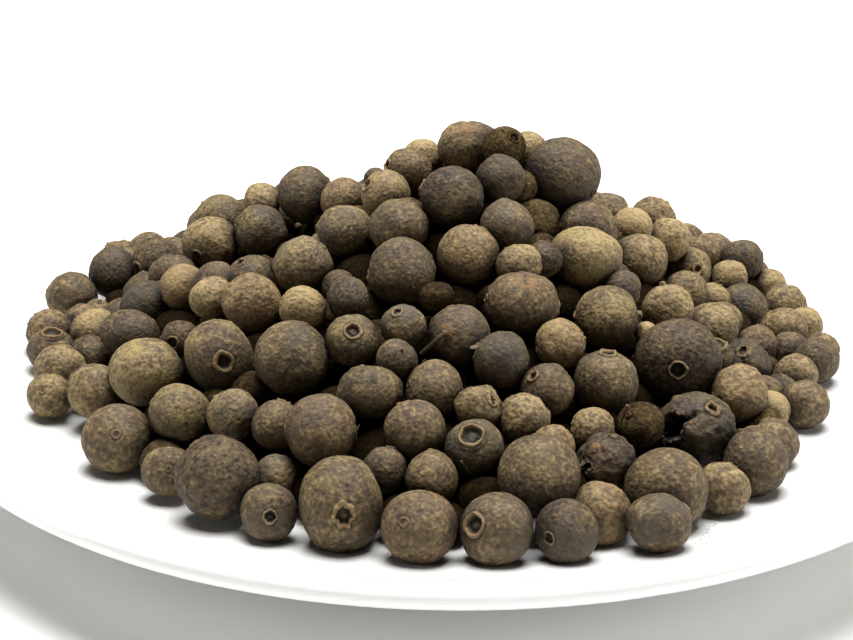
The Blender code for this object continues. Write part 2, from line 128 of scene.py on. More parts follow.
# The berries that the photograph shows: column, row and width in its pixels
SEEN_BERRIES = {
    "left": [
        (72, 297, 47), (114, 273, 50), (157, 262, 48), (211, 243, 54), (147, 306, 52),
        (184, 288, 47), (214, 298, 44), (50, 333, 45), (51, 349, 44), (95, 333, 50),
        (130, 334, 54), (60, 370, 50), (50, 396, 47), (96, 391, 54), (146, 372, 68),
        (180, 340, 38), (219, 357, 71),
    ],
    "front_left": [
        (117, 437, 68), (180, 413, 60), (233, 415, 51), (168, 471, 50), (219, 477, 82),
        (277, 425, 50), (320, 430, 70), (275, 477, 47), (268, 508, 58), (341, 500, 88),
        (384, 470, 46), (370, 392, 60), (415, 430, 60), (432, 479, 55), (434, 391, 58),
        (419, 527, 72),
    ],
    "front_right": [
        (474, 447, 55), (478, 408, 44), (524, 420, 51), (552, 446, 44), (539, 475, 78),
        (593, 430, 45), (608, 462, 54), (641, 425, 48), (496, 529, 70),
        (567, 530, 62), (600, 515, 61), (659, 521, 60), (665, 486, 80),
    ],
    "right": [
        (677, 360, 81), (697, 430, 75), (738, 393, 55), (754, 457, 64), (775, 443, 46),
        (723, 490, 52), (804, 408, 47), (815, 365, 46), (796, 372, 44), (745, 365, 50),
        (770, 410, 38),
    ],
    "upper_left": [
        (221, 222, 54), (262, 203, 38), (260, 230, 50), (306, 195, 56), (343, 200, 44),
        (386, 195, 49), (345, 231, 55), (399, 228, 57), (303, 266, 58), (249, 280, 46),
        (252, 303, 58), (303, 309, 45), (348, 298, 42),
    ],
    "top": [
        (471, 147, 58), (503, 148, 42), (562, 173, 72), (422, 160, 42), (408, 171, 46),
        (376, 180, 24), (453, 197, 62), (500, 179, 48), (507, 226, 51), (588, 231, 58),
        (605, 215, 44), (586, 258, 63), (469, 256, 62), (402, 272, 65), (518, 266, 44),
        (543, 260, 38), (521, 302, 67), (609, 318, 66),
    ],
    "middle": [
        (292, 358, 74), (352, 340, 50), (404, 327, 45), (397, 360, 41), (460, 336, 61),
        (501, 360, 57), (560, 344, 49), (547, 390, 51), (606, 382, 61),
    ],
    "upper_right": [
        (653, 220, 44), (668, 240, 44), (632, 228, 40), (639, 260, 53), (690, 268, 44),
        (703, 255, 38), (741, 263, 42), (765, 284, 36), (730, 277, 36), (743, 302, 48),
        (686, 293, 42), (712, 300, 34), (668, 310, 51), (712, 328, 52), (785, 305, 40),
        (785, 326, 46), (803, 331, 36), (757, 346, 40), (620, 288, 38), (647, 335, 24),
    ],
    "between": [(437, 297, 32), (527, 152, 40)],
}
# Pairs of them by their number in that order: the first lies in front of the second
IN_FRONT = (
    (3, 57), (74, 73), (99, 80), (98, 97), (99, 97), (101, 102), (105, 103), (112, 111),
    (112, 113), (21, 20), (21, 24), (51, 49), (71, 118), (72, 118),
)
COUNT_SEEN = sum(len(group) for group in SEEN_BERRIES.values())

# What the photograph shows on single berries, by their number in the order above.
# A crown is the dried flower end; the pixel is where its middle shows.
CROWNS_SEEN = {
    2: (137, 270), 3: (196, 256), 8: (52, 331), 10: (105, 350), 15: (172, 343),
    16: (224, 362), 25: (270, 517), 26: (344, 515), 33: (471, 434), 34: (493, 400),
    41: (472, 524), 42: (547, 539), 46: (678, 371), 47: (713, 408), 55: (743, 350),
    62: (366, 184), 66: (240, 262), 71: (515, 137), 74: (388, 165), 89: (353, 330),
    90: (397, 312), 95: (533, 376), 96: (608, 353), 101: (698, 269),
}
CROWN_HIDDEN = (0.1, 0.4)          # how far any other seen berry turns its crown away
# A stem scar is the round mark at the other end.
SCARS_SEEN = {
    12: (43, 391), 17: (116, 434), 20: (169, 469), 32: (404, 522), 40: (628, 415),
    87: (642, 314), 109: (662, 281),
}
KINDS_SEEN = {
    33: "wide_crown", 89: "oblate", 8: "wide_crown", 66: "star_crown", 26: "worn_crown",
    25: "star_crown", 47: "split", 39: "torn", 34: "shrivelled", 55: "shrivelled",
    28: "pebbled", 70: "uneven", 81: "bilobed", 14: "bilobed", 60: "plain",
    87: "stem_stub", 40: "stem_stub", 109: "stem_stub", 46: "small_crown", 42: "small_crown",
    3: "small_crown", 16: "squarish", 21: "uneven", 10: "plain", 41: "oblate", 2: "oblate",
    17: "plain", 19: "plain", 23: "plain", 32: "plain", 37: "plain", 45: "plain", 57: "plain",
    82: "plain", 91: "plain", 44: "oblate", 76: "pebbled", 83: "pebbled", 86: "pebbled",
}
# Worn patches where the husk's orange tan inside shows, and their width in pixels
WORN_SEEN = {
    39: (598, 449, 13), 47: (690, 419, 10), 70: (467, 130, 26), 83: (418, 284, 10),
    86: (527, 280, 24), 92: (446, 328, 12),
}
WORN_MIDDLE, WORN_FALL = 1.6, 1.2  # how strong a patch is in its middle, and how fast it ends
# Berries that show wider than tall or the other way round: both sizes over the mean width
ASPECTS_SEEN = {
    10: (1.11, 0.89), 14: (1.05, 0.94), 26: (0.955, 1.055), 28: (1.12, 0.90), 41: (1.03, 0.95),
    44: (1.08, 0.94), 47: (1.04, 0.96), 49: (0.92, 1.08), 70: (1.10, 0.90), 81: (1.08, 0.92),
    86: (1.09, 0.91),
}
# Berries by their tone, from dark to pale, and by their tint. A tone is partly the berry's own
# colour, partly painted shade on berries that lie in shade and painted light on those that catch
# more light.
DARK_WITH_PAINTED_SHADE_SEEN = {1, 2, 4, 15, 21, 39, 42, 46, 47, 55, 69, 75, 76, 77, 85, 93}
DUSKY_SEEN = {
    8, 10, 22, 26, 27, 28, 30, 33, 37, 41, 44, 45, 49, 53, 60, 66, 79, 83, 86, 92, 106, 107, 115,
}
TAN_SEEN = {
    3, 7, 11, 12, 13, 14, 19, 24, 35, 36, 38, 43, 48, 51, 54, 61, 62, 63, 65, 67, 84, 94, 97,
    100, 101, 102, 108, 109, 110, 111, 112,
}
PALE_SEEN = {5, 6, 9, 58, 68, 73, 81, 98, 104, 105, 113, 118}
# Painted light: tones above the rest, for small berries that lie among shading neighbours
PALEST_WITH_PAINTED_LIGHT_SEEN = {56, 99, 116}
TONES = (   # least and greatest tone of each of these sets
    (DARK_WITH_PAINTED_SHADE_SEEN, 0.22, 0.32), (DUSKY_SEEN, 0.36, 0.44), (TAN_SEEN, 0.62, 0.72),
    (PALE_SEEN, 0.80, 0.88), (PALEST_WITH_PAINTED_LIGHT_SEEN, 0.96, 1.04),
)
WARM_SEEN = {5, 15, 23, 32, 36, 43, 48, 61, 67, 74, 82, 86, 94, 114}
GREY_SEEN = {4, 10, 19, 24, 33, 42, 44, 63, 65, 77, 90, 93, 115}
OLIVE_SEEN = {14, 16, 20, 26, 28, 33, 57, 81, 87, 89}
MIDDLE_TONE, TONE_SPREAD = 0.50, 0.07                         # of the tones drawn at random
ANY_GREY, ANY_OLIVE, ANY_WARM = (0.0, 0.5), (0.1, 0.4), (0.0, 0.35)   # and ranges of the tints
MUCH = (0.6, 0.8)                  # range of a tint in its own set
LITTLE = 0.1                       # a tint that another one keeps down

# Shapes of a berry of radius 1, standing on its stem end with the crown on top
SEGMENTS = 20
RINGS = 17
CROWN_CAP = math.cos(math.asin(0.36) + 0.01)   # the skin makes room for the crown over this height
STEM_CAP = -math.cos(0.9 * math.pi / RINGS)    # and for the stem scar below this one
# In the ring tables below, the pit mark paints hollows and grooves near black: partly their dark
# husk, partly painted shade in them
CROWN_STEPS = {       # inset, rise, mark of each ring towards the middle and the mark's share
    "collar": (
        (0.045, -0.045, "pit_and_shade", 0.70), (0.012, 0.075, "rim", 0.6), (0.025, 0.022, "rim", 0.8),
        (0.065, -0.006, "rim", 0.5), (0.022, -0.020, "rim", 0.8), (0.015, -0.100, "pit_and_shade", 0.7),
        (0.060, -0.060, "pit_and_shade", 0.95), (0.050, 0.015, "pit_and_shade", 0.7),
    ),
    "rim": (
        (0.045, -0.045, "pit_and_shade", 0.60), (0.014, 0.080, "rim", 0.6), (0.036, 0.024, "rim", 0.9),
        (0.038, -0.024, "rim", 0.8), (0.018, -0.095, "pit_and_shade", 0.6), (0.050, -0.030, "pit_and_shade", 0.9),
        (0.040, 0.004, "pit_and_shade", 0.9), (0.025, 0.030, "pit_and_shade", 0.5),
    ),
}
SCAR_STEPS = (
    (0.025, -0.045, "pit_and_shade", 0.35), (0.025, 0.075, "rim", 0.35), (0.040, 0.000, "rim", 0.2),
    (0.030, -0.040, "pit_and_shade", 0.30),
)
STUB_STEPS = (
    (0.020, -0.030, "pit_and_shade", 0.6), (0.020, 0.050, "rim", 0.5), (0.008, 0.100, "rim", 0.7),
    (0.035, 0.040, "rim", 0.8), (0.030, -0.030, "pit_and_shade", 0.4),
)
SHAPES = (   # kind, lumps, wrinkles, height over width, squareness, crown and its width
    ("plain", 0.10, 0.034, 0.96, 0.03, "rim", 0.95),
    ("oblate", 0.13, 0.040, 0.90, 0.05, "rim", 1.15),
    ("long", 0.11, 0.036, 1.05, 0.03, "collar", 0.90),
    ("pebbled", 0.16, 0.085, 0.97, 0.04, "rim", 0.85),
    ("uneven", 0.20, 0.046, 0.95, 0.05, "collar", 0.85),
    ("squarish", 0.11, 0.036, 0.96, 0.14, "collar", 1.00),
    ("small_crown", 0.12, 0.044, 0.96, 0.05, "rim", 0.72),
    ("wide_crown", 0.14, 0.048, 0.90, 0.06, "rim", 1.50),
    ("star_crown", 0.13, 0.042, 0.97, 0.05, "rim", 0.85),
    ("worn_crown", 0.13, 0.042, 0.98, 0.04, "rim", 0.85),
    ("stem_stub", 0.13, 0.040, 0.98, 0.05, "collar", 0.90),
    ("bilobed", 0.12, 0.040, 0.95, 0.03, "rim", 0.90),
    ("shrivelled", 0.32, 0.110, 0.93, 0.10, "collar", 1.00),
    ("torn", 0.34, 0.110, 0.92, 0.06, "rim", 0.90),
    ("split", 0.16, 0.120, 0.97, 0.06, "collar", 0.75),
)
CROWN_RIM, CROWN_HOLE = (0.26, 0.07), (0.17, 0.06)   # radius and width of each, as lobes move it
RAGGED = {"star_crown": 0.6, "shrivelled": 0.6, "torn": 0.6, "worn_crown": 1.1}
USUAL_RAGGED = 0.28                # how ragged the lobes of any other crown are
WAIST_DEPTH, WAIST_WIDTH = 0.14, 0.28          # groove of a bilobed berry
LUMP_SIZE, WRINKLE_SIZE = 0.9, 0.22            # sizes of the noises that shape the skin
LUMPS_AT, WRINKLES_AT, KIND_STEP = 10, 50, 3   # where the first kind reads them, and the next ones
CREASES = {"shrivelled": (0.45, 0.13), "torn": (0.50, 0.16), "split": (0.30, 0.09)}  # size, depth
CREASE_STEP = 5                    # and how far apart the kinds read that noise
BROKEN = {      # latitude, half width, half length, ragged edge and crack of an opening
    "split": (0.24, 0.40, 0.54, 0.10, 1.12),
    "torn": (0.30, 0.42, 0.32, 0.20, 0.0),
}
TORN_EDGE = (   # inset, reach from the middle, mark and its share of each ring of the lips; the pit mark paints the opening's inside near black, partly dark husk and partly painted shade
    (0.018, 1.025, "flesh", 0.8), (0.014, 0.985, "flesh", 1.0), (0.014, 0.93, "pit_and_shade", 0.8),
    (0.015, 0.85, "pit_and_shade", 1.0), (0.010, 0.60, "pit_and_shade", 1.0),
)
SNAP = 0.16                        # corners this near an opening's edge are moved onto it
FRAY, FRAY_GRAIN = 0.02, 0.03      # how far the corners of the lips stray, and how unevenly
CRACK_WIDTH, CRACK_DEPTH, CRACK_WAVE = 0.06, 0.17, 0.07   # half width, depth and sideways sway
OPENINGS_SEEN = {47: (676, 423), 39: (589, 455)}          # pixels where they show
COMMON_KINDS = ("plain", "oblate", "long", "pebbled", "uneven", "squarish")
RARE_KINDS = ("wide_crown", "star_crown", "stem_stub", "shrivelled")
RARE_SHARE = 0.25
STRETCH, MOST_STRETCH = 0.03, 0.06             # spread and limit of a berry's own proportions
DEEP_LAYERS = (3.4 * MM, 7 * MM)   # berries that only fill the gaps behind the outer ones
DEEP_THROWS = 2500
DEEP_RADII = (1.9 * MM, 2.6 * MM)
DEEP_SPACING = 0.8
# Painted shade on the berries: darker as a whole the less sky a berry sees, and on the skin where
# others touch it
SKY_RAYS = 96                      # lines of sight that tell how much sky a berry sees
SHADE_FULL, SHADE_FROM = 0.2, 0.5  # shares of the sky between which a berry's painted shade fades out
DEEPEST_SHADE = 0.95
SUNKEN_SHADE = 0.45                # over this painted shade a berry has no sheen
SHADED_SEEN = {40: 0.5, 55: 0.2, 71: 0.6, 75: 0.2, 85: 0.15, 117: 0.7}   # painted shades set one by one
TOUCH_REACH = 0.85                 # how near a neighbour keeps light from the skin, in radii
TOUCH_SHADE = 0.92                 # and how much darker the skin is painted where it touches, as shade
PIECE_TRIANGLES = 190_000

# The inside under the berries: a near-black body of painted shade
CORE_VERTICES = 72
CORE_RINGS = 12
CORE_EDGE = 1 * MM                 # least thickness

# Skin: the sizes of its patterns in millimetres, with detail and roughness
SKIN_GRAIN = (
    ("patch", 3.6, 1.0, 0.5), ("grey_patch", 2.7, 1.0, 0.5), ("mottle", 0.8, 1.0, 0.6),
    ("wart", 0.40, 1.0, 0.6), ("speckle", 0.22, 0.0, 0.5),
)
GREY_PATCH_PLACE = (0.05, 0.0, 0.0)            # the grey patches are read from here
GLAND_SIZE, GLAND_DRIFT = 0.45, 0.5
GRAIN_SHARES = (                   # share of each pattern in the skin's tone and in its relief
    ("patch", 0.40, 0.0), ("mottle", 0.76, 1.4), ("wart", 0.56, 0.8), ("gland", -0.28, -0.9),
    ("speckle", 0.14, 0.3),
)
PATCHY_MARKS = (                   # pattern that breaks up a mark, its least value and its gain
    ("olive", "patch", 0.36, 3.0), ("olive", "light", 0.0, 1.0), ("warm", "light", 0.0, 0.5),
    ("grey", "grey_patch", 0.34, 3.4), ("flesh", "mottle", 0.30, 3.5),
)
DARKEST_STOP = 0.05                # up to this tone the skin is at its darkest
MIX_SHARE, MIX_FIRST, MIX_SECOND, MIX_COLOUR = 0, 6, 7, 2     # sockets of a mix of colours

# Small broken bits: where each shows, and its size in millimetres
STALK_BITS = (                     # both ends and the thickness
    ((444, 334), (420, 354), 0.6), ((627, 407), (621, 425), 0.4), ((388, 442), (399, 453), 0.28),
    ((462, 462), (470, 474), 0.25),
)
SKIN_FLAKES = (                    # middle, length, width over length and turn in degrees
    (355, 432, 1.5, 0.35, 80), (478, 347, 1.5, 0.5, 35), (200, 316, 1.2, 0.5, -30),
    (262, 333, 1.5, 0.4, 20), (415, 282, 1.6, 0.5, 60),
    (584, 464, 1.7, 0.3, 38), (580, 449, 1.2, 0.3, 10), (612, 437, 1.0, 0.4, -20),
)
CRUMBS = (
    (300, 228, 1.3), (425, 361, 0.8), (590, 470, 0.5), (402, 350, 0.5), (503, 131, 0.5),
    (664, 437, 0.6), (693, 531, 0.7),
)
DUST_PATCH = ((686, 512), (730, 545))          # corners of the dusty spot at the heap's right foot
DUST_COUNT = 40
DUST_SIZE = (0.06, 0.18)
CRUMB_SHAPE, GRAIN_SHAPE = (1.0, 0.8, 0.65), (1.0, 0.7, 0.5)
CRUMB_LUMPS, CRUMB_LUMPS_AT = 0.2, 3
STALK_SIDES = 8
STALK_TAPER = 0.55
STALK_END = 0.49                   # faces further out than this share of the length are its ends
KNOB_INSET, KNOB_FOOT, KNOB_WIDTH = 0.08, 0.2, 1.5         # shares of the stalk's thickness
KNOB_HEIGHT, KNOB_TOP = 0.5, 0.6
FLAKE_FACES = (10, 5)
FLAKE_BEND, FLAKE_JITTER = (0.15, 0.35), 0.02
FLAKE_TIPS = 0.75                  # how much of its width a flake loses at its tips
FLAKE_THICKNESS = 0.06 * MM
FLAKE_LIFT = 0.12                  # how far it stands off, as a share of its length

# Stage, in metres
FLOOR_SIZE = 6
LIGHTS = (     # name, place, size, the setting that gives the power, and this light's share
    ("key", (0.03, 0.09, 0.58), 0.40, "key_power", 1.0),
    ("fill", (0.0, -0.70, 0.08), 0.50, "fill_power", 1.0),
    ("right", (0.75, -0.05, 0.14), 0.50, "side_power", 1.0),
    ("left", (-0.75, -0.05, 0.14), 0.50, "side_power", 0.5),
)
SENSOR_WIDTH = 36                  # millimetres
CLIP_NEAR, CLIP_FAR = 0.01, 20


# ---------------------------------------------------------------- the heap, as the solid has it

def lip_start():
    """Distance from the axis at which the dish's inner wall runs into the lip."""
    return DISH_RADIUS - LIP_ROUNDING - LIP_ROUNDING * math.sin(LIP_SLOPE)


def dish_top(distance):
    """Height of the dish's upper face at a distance from its axis."""
    climb = np.maximum(distance - WELL_RADIUS, 0.0)
    return WELL_HEIGHT + math.tan(LIP_SLOPE) * climb**2 / (2 * (lip_start() - WELL_RADIUS))


def dish_profile():
    """Outline of the dish's section, from the axis below to the axis above."""
    lip_x = DISH_RADIUS - LIP_ROUNDING
    lip_z = dish_top(lip_start()) - LIP_ROUNDING * math.cos(LIP_SLOPE)
    under_x = lip_x + LIP_ROUNDING * math.sin(LIP_SLOPE)
    under_z = lip_z - LIP_ROUNDING * math.cos(LIP_SLOPE)
    base_z = under_z - math.tan(LIP_SLOPE) * (under_x - FOOT_OUTER) / 2
    points = [
        (0.0, base_z),
        (FOOT_INNER - FOOT_TAPER, base_z),
        (FOOT_INNER, FOOT_CHAMFER),
        (FOOT_INNER + FOOT_CHAMFER, 0.0),
        (FOOT_OUTER - FOOT_CHAMFER - FOOT_TAPER, 0.0),
        (FOOT_OUTER - FOOT_TAPER, FOOT_CHAMFER),
    ]
    for step in range(WALL_STEPS):
        share = step / WALL_STEPS
        x = FOOT_OUTER + share * (under_x - FOOT_OUTER)
        points.append((x, base_z + share**2 * (under_z - base_z)))
    for step in range(LIP_STEPS + 1):
        angle = LIP_SLOPE - math.pi / 2 + math.pi * step / LIP_STEPS
        x = lip_x + LIP_ROUNDING * math.cos(angle)
        points.append((x, lip_z + LIP_ROUNDING * math.sin(angle)))
    for step in range(1, WALL_STEPS + 1):
        x = lip_start() + (WELL_RADIUS - lip_start()) * step / WALL_STEPS
        points.append((x, float(dish_top(x))))
    points.append((0.0, WELL_HEIGHT))
    return points


def camera_frame():
    """The camera's place and its right, up and forward directions."""
    across = (HEAP_PIXEL[0] - IMAGE_MIDDLE[0]) / FOCAL_PIXELS
    down = (HEAP_PIXEL[1] - IMAGE_MIDDLE[1]) / FOCAL_PIXELS
    pitch = CAMERA_ELEVATION - math.atan(down)
    yaw = -math.atan(across)
    forward = np.array([
        math.sin(yaw) * math.cos(pitch), math.cos(yaw) * math.cos(pitch), -math.sin(pitch),
    ])
    right = np.array([math.cos(yaw), -math.sin(yaw), 0.0])
    up = np.cross(right, forward)
    sight = across * right - down * up + forward
    middle = np.array([HEAP_X, HEAP_Y, WELL_HEIGHT])
    return middle - CAMERA_DISTANCE * sight / np.linalg.norm(sight), right, up, forward


def bump(x, y, shape):
    """A smooth rise of the heap's dome, or a dip in it."""
    away = (x - HEAP_X - shape[0])**2 + (y - HEAP_Y - shape[1])**2
    return shape[2] * np.exp(-away / (2 * shape[3]**2))


def resting_height(x, y, radius):
    """Height of the middle of a berry of this radius that lies on the dish."""
    return dish_top(np.hypot(x, y)) + radius


def heap_edge(x, y):
    """Distance from the heap's middle to its edge, in the direction of a point."""
    distance = np.maximum(np.hypot(x - HEAP_X, y - HEAP_Y), MM)
    front = np.maximum((HEAP_Y - y) / distance, 0.0)
    return HEAP_RADIUS + FRONT_REACH * front**FRONT_POINT


def outer_height(x, y, radius):
    """Height of the middle of a berry of this radius that lies on the heap's outside."""
    share = np.hypot(x - HEAP_X, y - HEAP_Y) / (heap_edge(x, y) - radius)
    dome = (HEAP_HEIGHT - 2 * radius) * (1 - share**DOME_POWER)
    dome += radius + sum(bump(x, y, shape) for shape in (PEAK, *HOLLOWS))
    return np.maximum(WELL_HEIGHT + dome, resting_height(x, y, radius))


def sight_through(camera, column, row):
    """Direction in which the camera sees a pixel, with a depth of 1."""
    right, up, forward = camera[1:]
    across = (column - IMAGE_MIDDLE[0]) / FOCAL_PIXELS
    down = (row - IMAGE_MIDDLE[1]) / FOCAL_PIXELS
    return across * right - down * up + forward


def unit(vector):
    """The same direction with a length of 1."""
    return vector / np.linalg.norm(vector)


def seen_berries(camera):
    """Middles, radii and sight lines of the berries that the photograph shows."""
    depths = np.linspace(NEAREST, FARTHEST, SIGHT_STEPS)
    middles, radii, sights = [], [], []
    for column, row, width in [berry for group in SEEN_BERRIES.values() for berry in group]:
        sight = sight_through(camera, column, row)
        points = camera[0] + depths[:, None] * sight
        sizes = width * depths / FOCAL_PIXELS / 2
        above = points[:, 2] - outer_height(points[:, 0], points[:, 1], sizes)
        in_front = points[:, 1] < HEAP_Y + BACK_LIMIT
        reached = np.nonzero((above <= 0) & in_front)[0]
        index = reached[0] if len(reached) else int(np.argmin(np.where(in_front, above, 1.0)))
        middles.append(points[index])
        radii.append(sizes[index])
        sights.append(unit(sight))
    return order_pairs(camera[0], np.array(middles), np.array(radii), np.array(sights))


def order_pairs(place, middles, radii, sights):
    """Swap the distances of two berries where the wrong one would lie in front."""
    away = np.linalg.norm(middles - place, axis=1)
    for front, back in IN_FRONT:
        if away[front] > away[back]:
            swapped = away[back], away[front]
            for index, distance in zip((front, back), swapped):
                radii[index] *= distance / away[index]
                away[index] = distance
                middles[index] = place + distance * sights[index]
    return middles, radii, sights


def picture_discs(camera, middles, radii):
    """Column, row, depth and radius in pixels of each berry as the camera sees it."""
    place, right, up, forward = camera
    offset = middles - place
    depth = offset @ forward
    column = IMAGE_MIDDLE[0] + FOCAL_PIXELS * (offset @ right) / depth
    row = IMAGE_MIDDLE[1] - FOCAL_PIXELS * (offset @ up) / depth
    return np.stack([column, row, depth, FOCAL_PIXELS * radii / depth], axis=1)


def behind_heap(camera, middle, radius):
    """Whether the heap itself hides the middle of a berry from the camera."""
    steps = np.linspace(NEAREST / np.linalg.norm(middle - camera[0]), 1.0, SIGHT_CHECKS)
    points = camera[0] + steps[:, None] * (middle - camera[0])
    return (points[:, 2] < outer_height(points[:, 0], points[:, 1], radius) - BURIED).any()


def shown_share(disc, seen):
    """Share of a berry's disc that no seen berry in front of it covers."""
    turns = 2 * math.pi * np.arange(SPOTS) / SPOTS
    ring = np.stack([np.cos(turns), np.sin(turns)], axis=1)
    spots = disc[:2] + disc[3] * np.concatenate([ring * share for share in SPOT_RINGS])
    apart = np.linalg.norm(spots[:, None] - seen[:, :2], axis=2)
    return 1 - ((apart < seen[:, 3]) & (seen[:, 2] < disc[2])).any(axis=1).mean()


def covers_seen(disc, seen):
    """Whether a berry stands in front of one that the photograph shows."""
    apart = np.hypot(seen[:, 0] - disc[0], seen[:, 1] - disc[1])
    reach = np.maximum(COVERED_SHARE * seen[:, 3], COVERING_SHARE * disc[3])
    return ((apart < reach) & (disc[2] < seen[:, 2] + MM)).any()


def below_skyline(camera, seen, middles, radii):
    """Lower berries that would stand above the heap's outline in the picture."""
    discs = picture_discs(camera, middles, radii)
    excess = np.zeros(len(discs))
    for share in SKYLINE_SHARES:
        aside = np.abs(discs[:, None, 0] + share * discs[:, None, 3] - seen[:, 0])
        tops = seen[:, 1] - np.sqrt(np.maximum(seen[:, 3]**2 - aside**2, 0.0))
        skyline = np.where(aside < seen[:, 3], tops, SIDE_ROW).min(axis=1)
        top = discs[:, 1] - math.sqrt(1 - share**2) * discs[:, 3]
        excess = np.maximum(excess, skyline - top)
    drop = excess * discs[:, 2] / FOCAL_PIXELS / math.cos(CAMERA_ELEVATION)
    return middles - drop[:, None] * (0.0, 0.0, 1.0)


def crowded(middles, radii, middle, radius, share):
    """Whether a berry comes nearer to another than this share of touching."""
    apart = np.linalg.norm(np.array(middles) - middle, axis=1)
    return (apart < share * (np.array(radii) + radius)).any()


def throw_layer(draw, camera, seen, middles, radii, below):
    """Fill one layer of the heap with berries, the largest first, where there is room."""
    middles, radii = list(middles), list(radii)
    sizes = draw.normal(MEAN_RADIUS, RADIUS_SPREAD, THROWS).clip(*RADIUS_LIMITS)
    for radius in np.sort(sizes)[::-1]:
        turn = draw.uniform(0, 2 * math.pi)
        share = math.sqrt(draw.uniform(0, 1))
        edge = heap_edge(HEAP_X + math.cos(turn), HEAP_Y + math.sin(turn))
        x = HEAP_X + share * (edge - radius - below) * math.cos(turn)
        y = HEAP_Y + share * (edge - radius - below) * math.sin(turn)
        middle = np.array([x, y, outer_height(x, y, radius) - below])
        middle = below_skyline(camera, seen, middle[None], np.array([radius]))[0]
        middle[2] = max(middle[2], resting_height(x, y, radius))
        if crowded(middles, radii, middle, radius, THROW_SPACING):
            continue
        disc = picture_discs(camera, middle[None], np.array([radius]))[0]
        if covers_seen(disc, seen):
            continue
        hidden = below > 0.0 or behind_heap(camera, middle, radius)
        if not hidden and shown_share(disc, seen) > MOST_SHOWN:
            continue
        middles.append(middle)
        radii.append(radius)
    return np.array(middles), np.array(radii)


def overlap_pushes(middles, radii):
    """How far each berry has to move to come out of its neighbours."""
    alone = np.eye(len(middles), dtype=bool)
    apart = middles[:, None] - middles[None]
    spacing = np.linalg.norm(apart, axis=2)
    spacing[alone] = 1.0
    overlap = np.maximum(radii[:, None] + radii[None] - spacing, 0.0)
    overlap[alone] = 0.0
    pushes = (apart * (overlap / spacing / 2)[..., None]).sum(axis=1)
    return pushes / np.sqrt(np.maximum((overlap > 0).sum(axis=1), 1))[:, None]


def settle_seen(middles, radii, sights):
    """Part the seen berries along their sight lines, and those on the dish along it."""
    middles = middles.copy()
    floor = resting_height(middles[:, 0], middles[:, 1], radii)
    on_dish = middles[:, 2] < floor + ON_DISH
    ways = sights * np.where(on_dish[:, None], (1.0, 1.0, 0.0), 1.0)
    ways /= np.linalg.norm(ways, axis=1, keepdims=True)
    for _ in range(SETTLE_STEPS):
        pushes = overlap_pushes(middles, radii)
        along = (pushes * ways).sum(axis=1, keepdims=True) * ways
        middles += along + SIDEWAYS * (pushes - along)
        floor = resting_height(middles[:, 0], middles[:, 1], radii)
        middles[:, 2] = np.where(on_dish, floor, np.maximum(middles[:, 2], floor))
    return middles


def settle_unseen(camera, seen, middles, radii, depths):
    """Let the berries of each layer sink and slide between the seen ones, which stay."""
    middles = middles.copy()
    count = len(middles) - len(depths)
    sizes = radii[count:]
    for _ in range(SETTLE_STEPS):
        loose = middles[count:]
        loose += overlap_pushes(middles, radii)[count:]
        layer = outer_height(loose[:, 0], loose[:, 1], sizes) - depths
        loose[:, 2] = (loose[:, 2] - SINK).clip(layer - SUNK, layer + PROUD)
        loose[:] = below_skyline(camera, seen, loose, sizes)
        offset = loose[:, :2] - (HEAP_X, HEAP_Y)
        limit = heap_edge(loose[:, 0], loose[:, 1]) - sizes - depths
        limit = np.minimum(limit / np.hypot(*offset.T), 1.0)
        loose[:, :2] -= offset * (1 - limit)[:, None]
        floor = resting_height(loose[:, 0], loose[:, 1], sizes)
        loose[:, 2] = np.maximum(loose[:, 2], floor)
    return middles


def drop_misfits(camera, seen, middles, radii, depths):
    """Take out the unseen berries that found no room, or came out where they show."""
    spacing = np.linalg.norm(middles[:, None] - middles[None], axis=2)
    overlap = radii[:, None] + radii[None] - spacing
    discs = picture_discs(camera, middles, radii)
    kept = list(range(len(seen)))
    for index, below in enumerate(depths, start=len(seen)):
        if overlap[index, kept].max() > WORST_OVERLAP or covers_seen(discs[index], seen):
            continue
        hidden = below > 0.0 or behind_heap(camera, middles[index], radii[index])
        if hidden or shown_share(discs[index], seen) < MOST_SHOWN:
            kept.append(index)
    return middles[kept], radii[kept]


def arrange_berries():
    """Middles and radii of all berries of the outer layers."""
    draw = np.random.default_rng(SEED)
    camera = camera_frame()
    middles, radii, sights = seen_berries(camera)
    middles = settle_seen(middles, radii, sights)
    seen = picture_discs(camera, middles, radii)
    depths = []
    for below in LAYER_DEPTHS:
        count = len(middles)
        middles, radii = throw_layer(draw, camera, seen, middles, radii, below)
        depths += [below] * (len(middles) - count)
    middles = settle_unseen(camera, seen, middles, radii, np.array(depths))
    return drop_misfits(camera, seen, middles, radii, depths)


# ---------------------------------------------------------------- helpers

def linear(code):
    """An sRGB hex colour as linear red, green and blue."""
    shares = [int(code[place:place + 2], 16) / 255 for place in (1, 3, 5)]
    return tuple(s / 12.92 if s <= 0.04045 else ((s + 0.055) / 1.055)**2.4 for s in shares)


def set_inputs(node, inputs):
    """Set inputs of a node; each is a value or the output that feeds it."""
    for socket, value in inputs.items():
        if isinstance(value, bpy.types.NodeSocket):
            node.id_data.links.new(value, node.inputs[socket])
        else:
            node.inputs[socket].default_value = value


def add_node(tree, kind, output, inputs=None, **settings):
    """Add a node with its settings and links, and give one of its outputs."""
    node = tree.nodes.new(kind)
    for name, value in settings.items():
        setattr(node, name, value)
    set_inputs(node, inputs or {})
    return node.outputs[output]


def deselect_all():
    """Leave edit mode and select nothing."""
    if bpy.context.object and bpy.context.object.mode != "OBJECT":
        bpy.ops.object.mode_set(mode="OBJECT")
    bpy.ops.object.select_all(action="DESELECT")


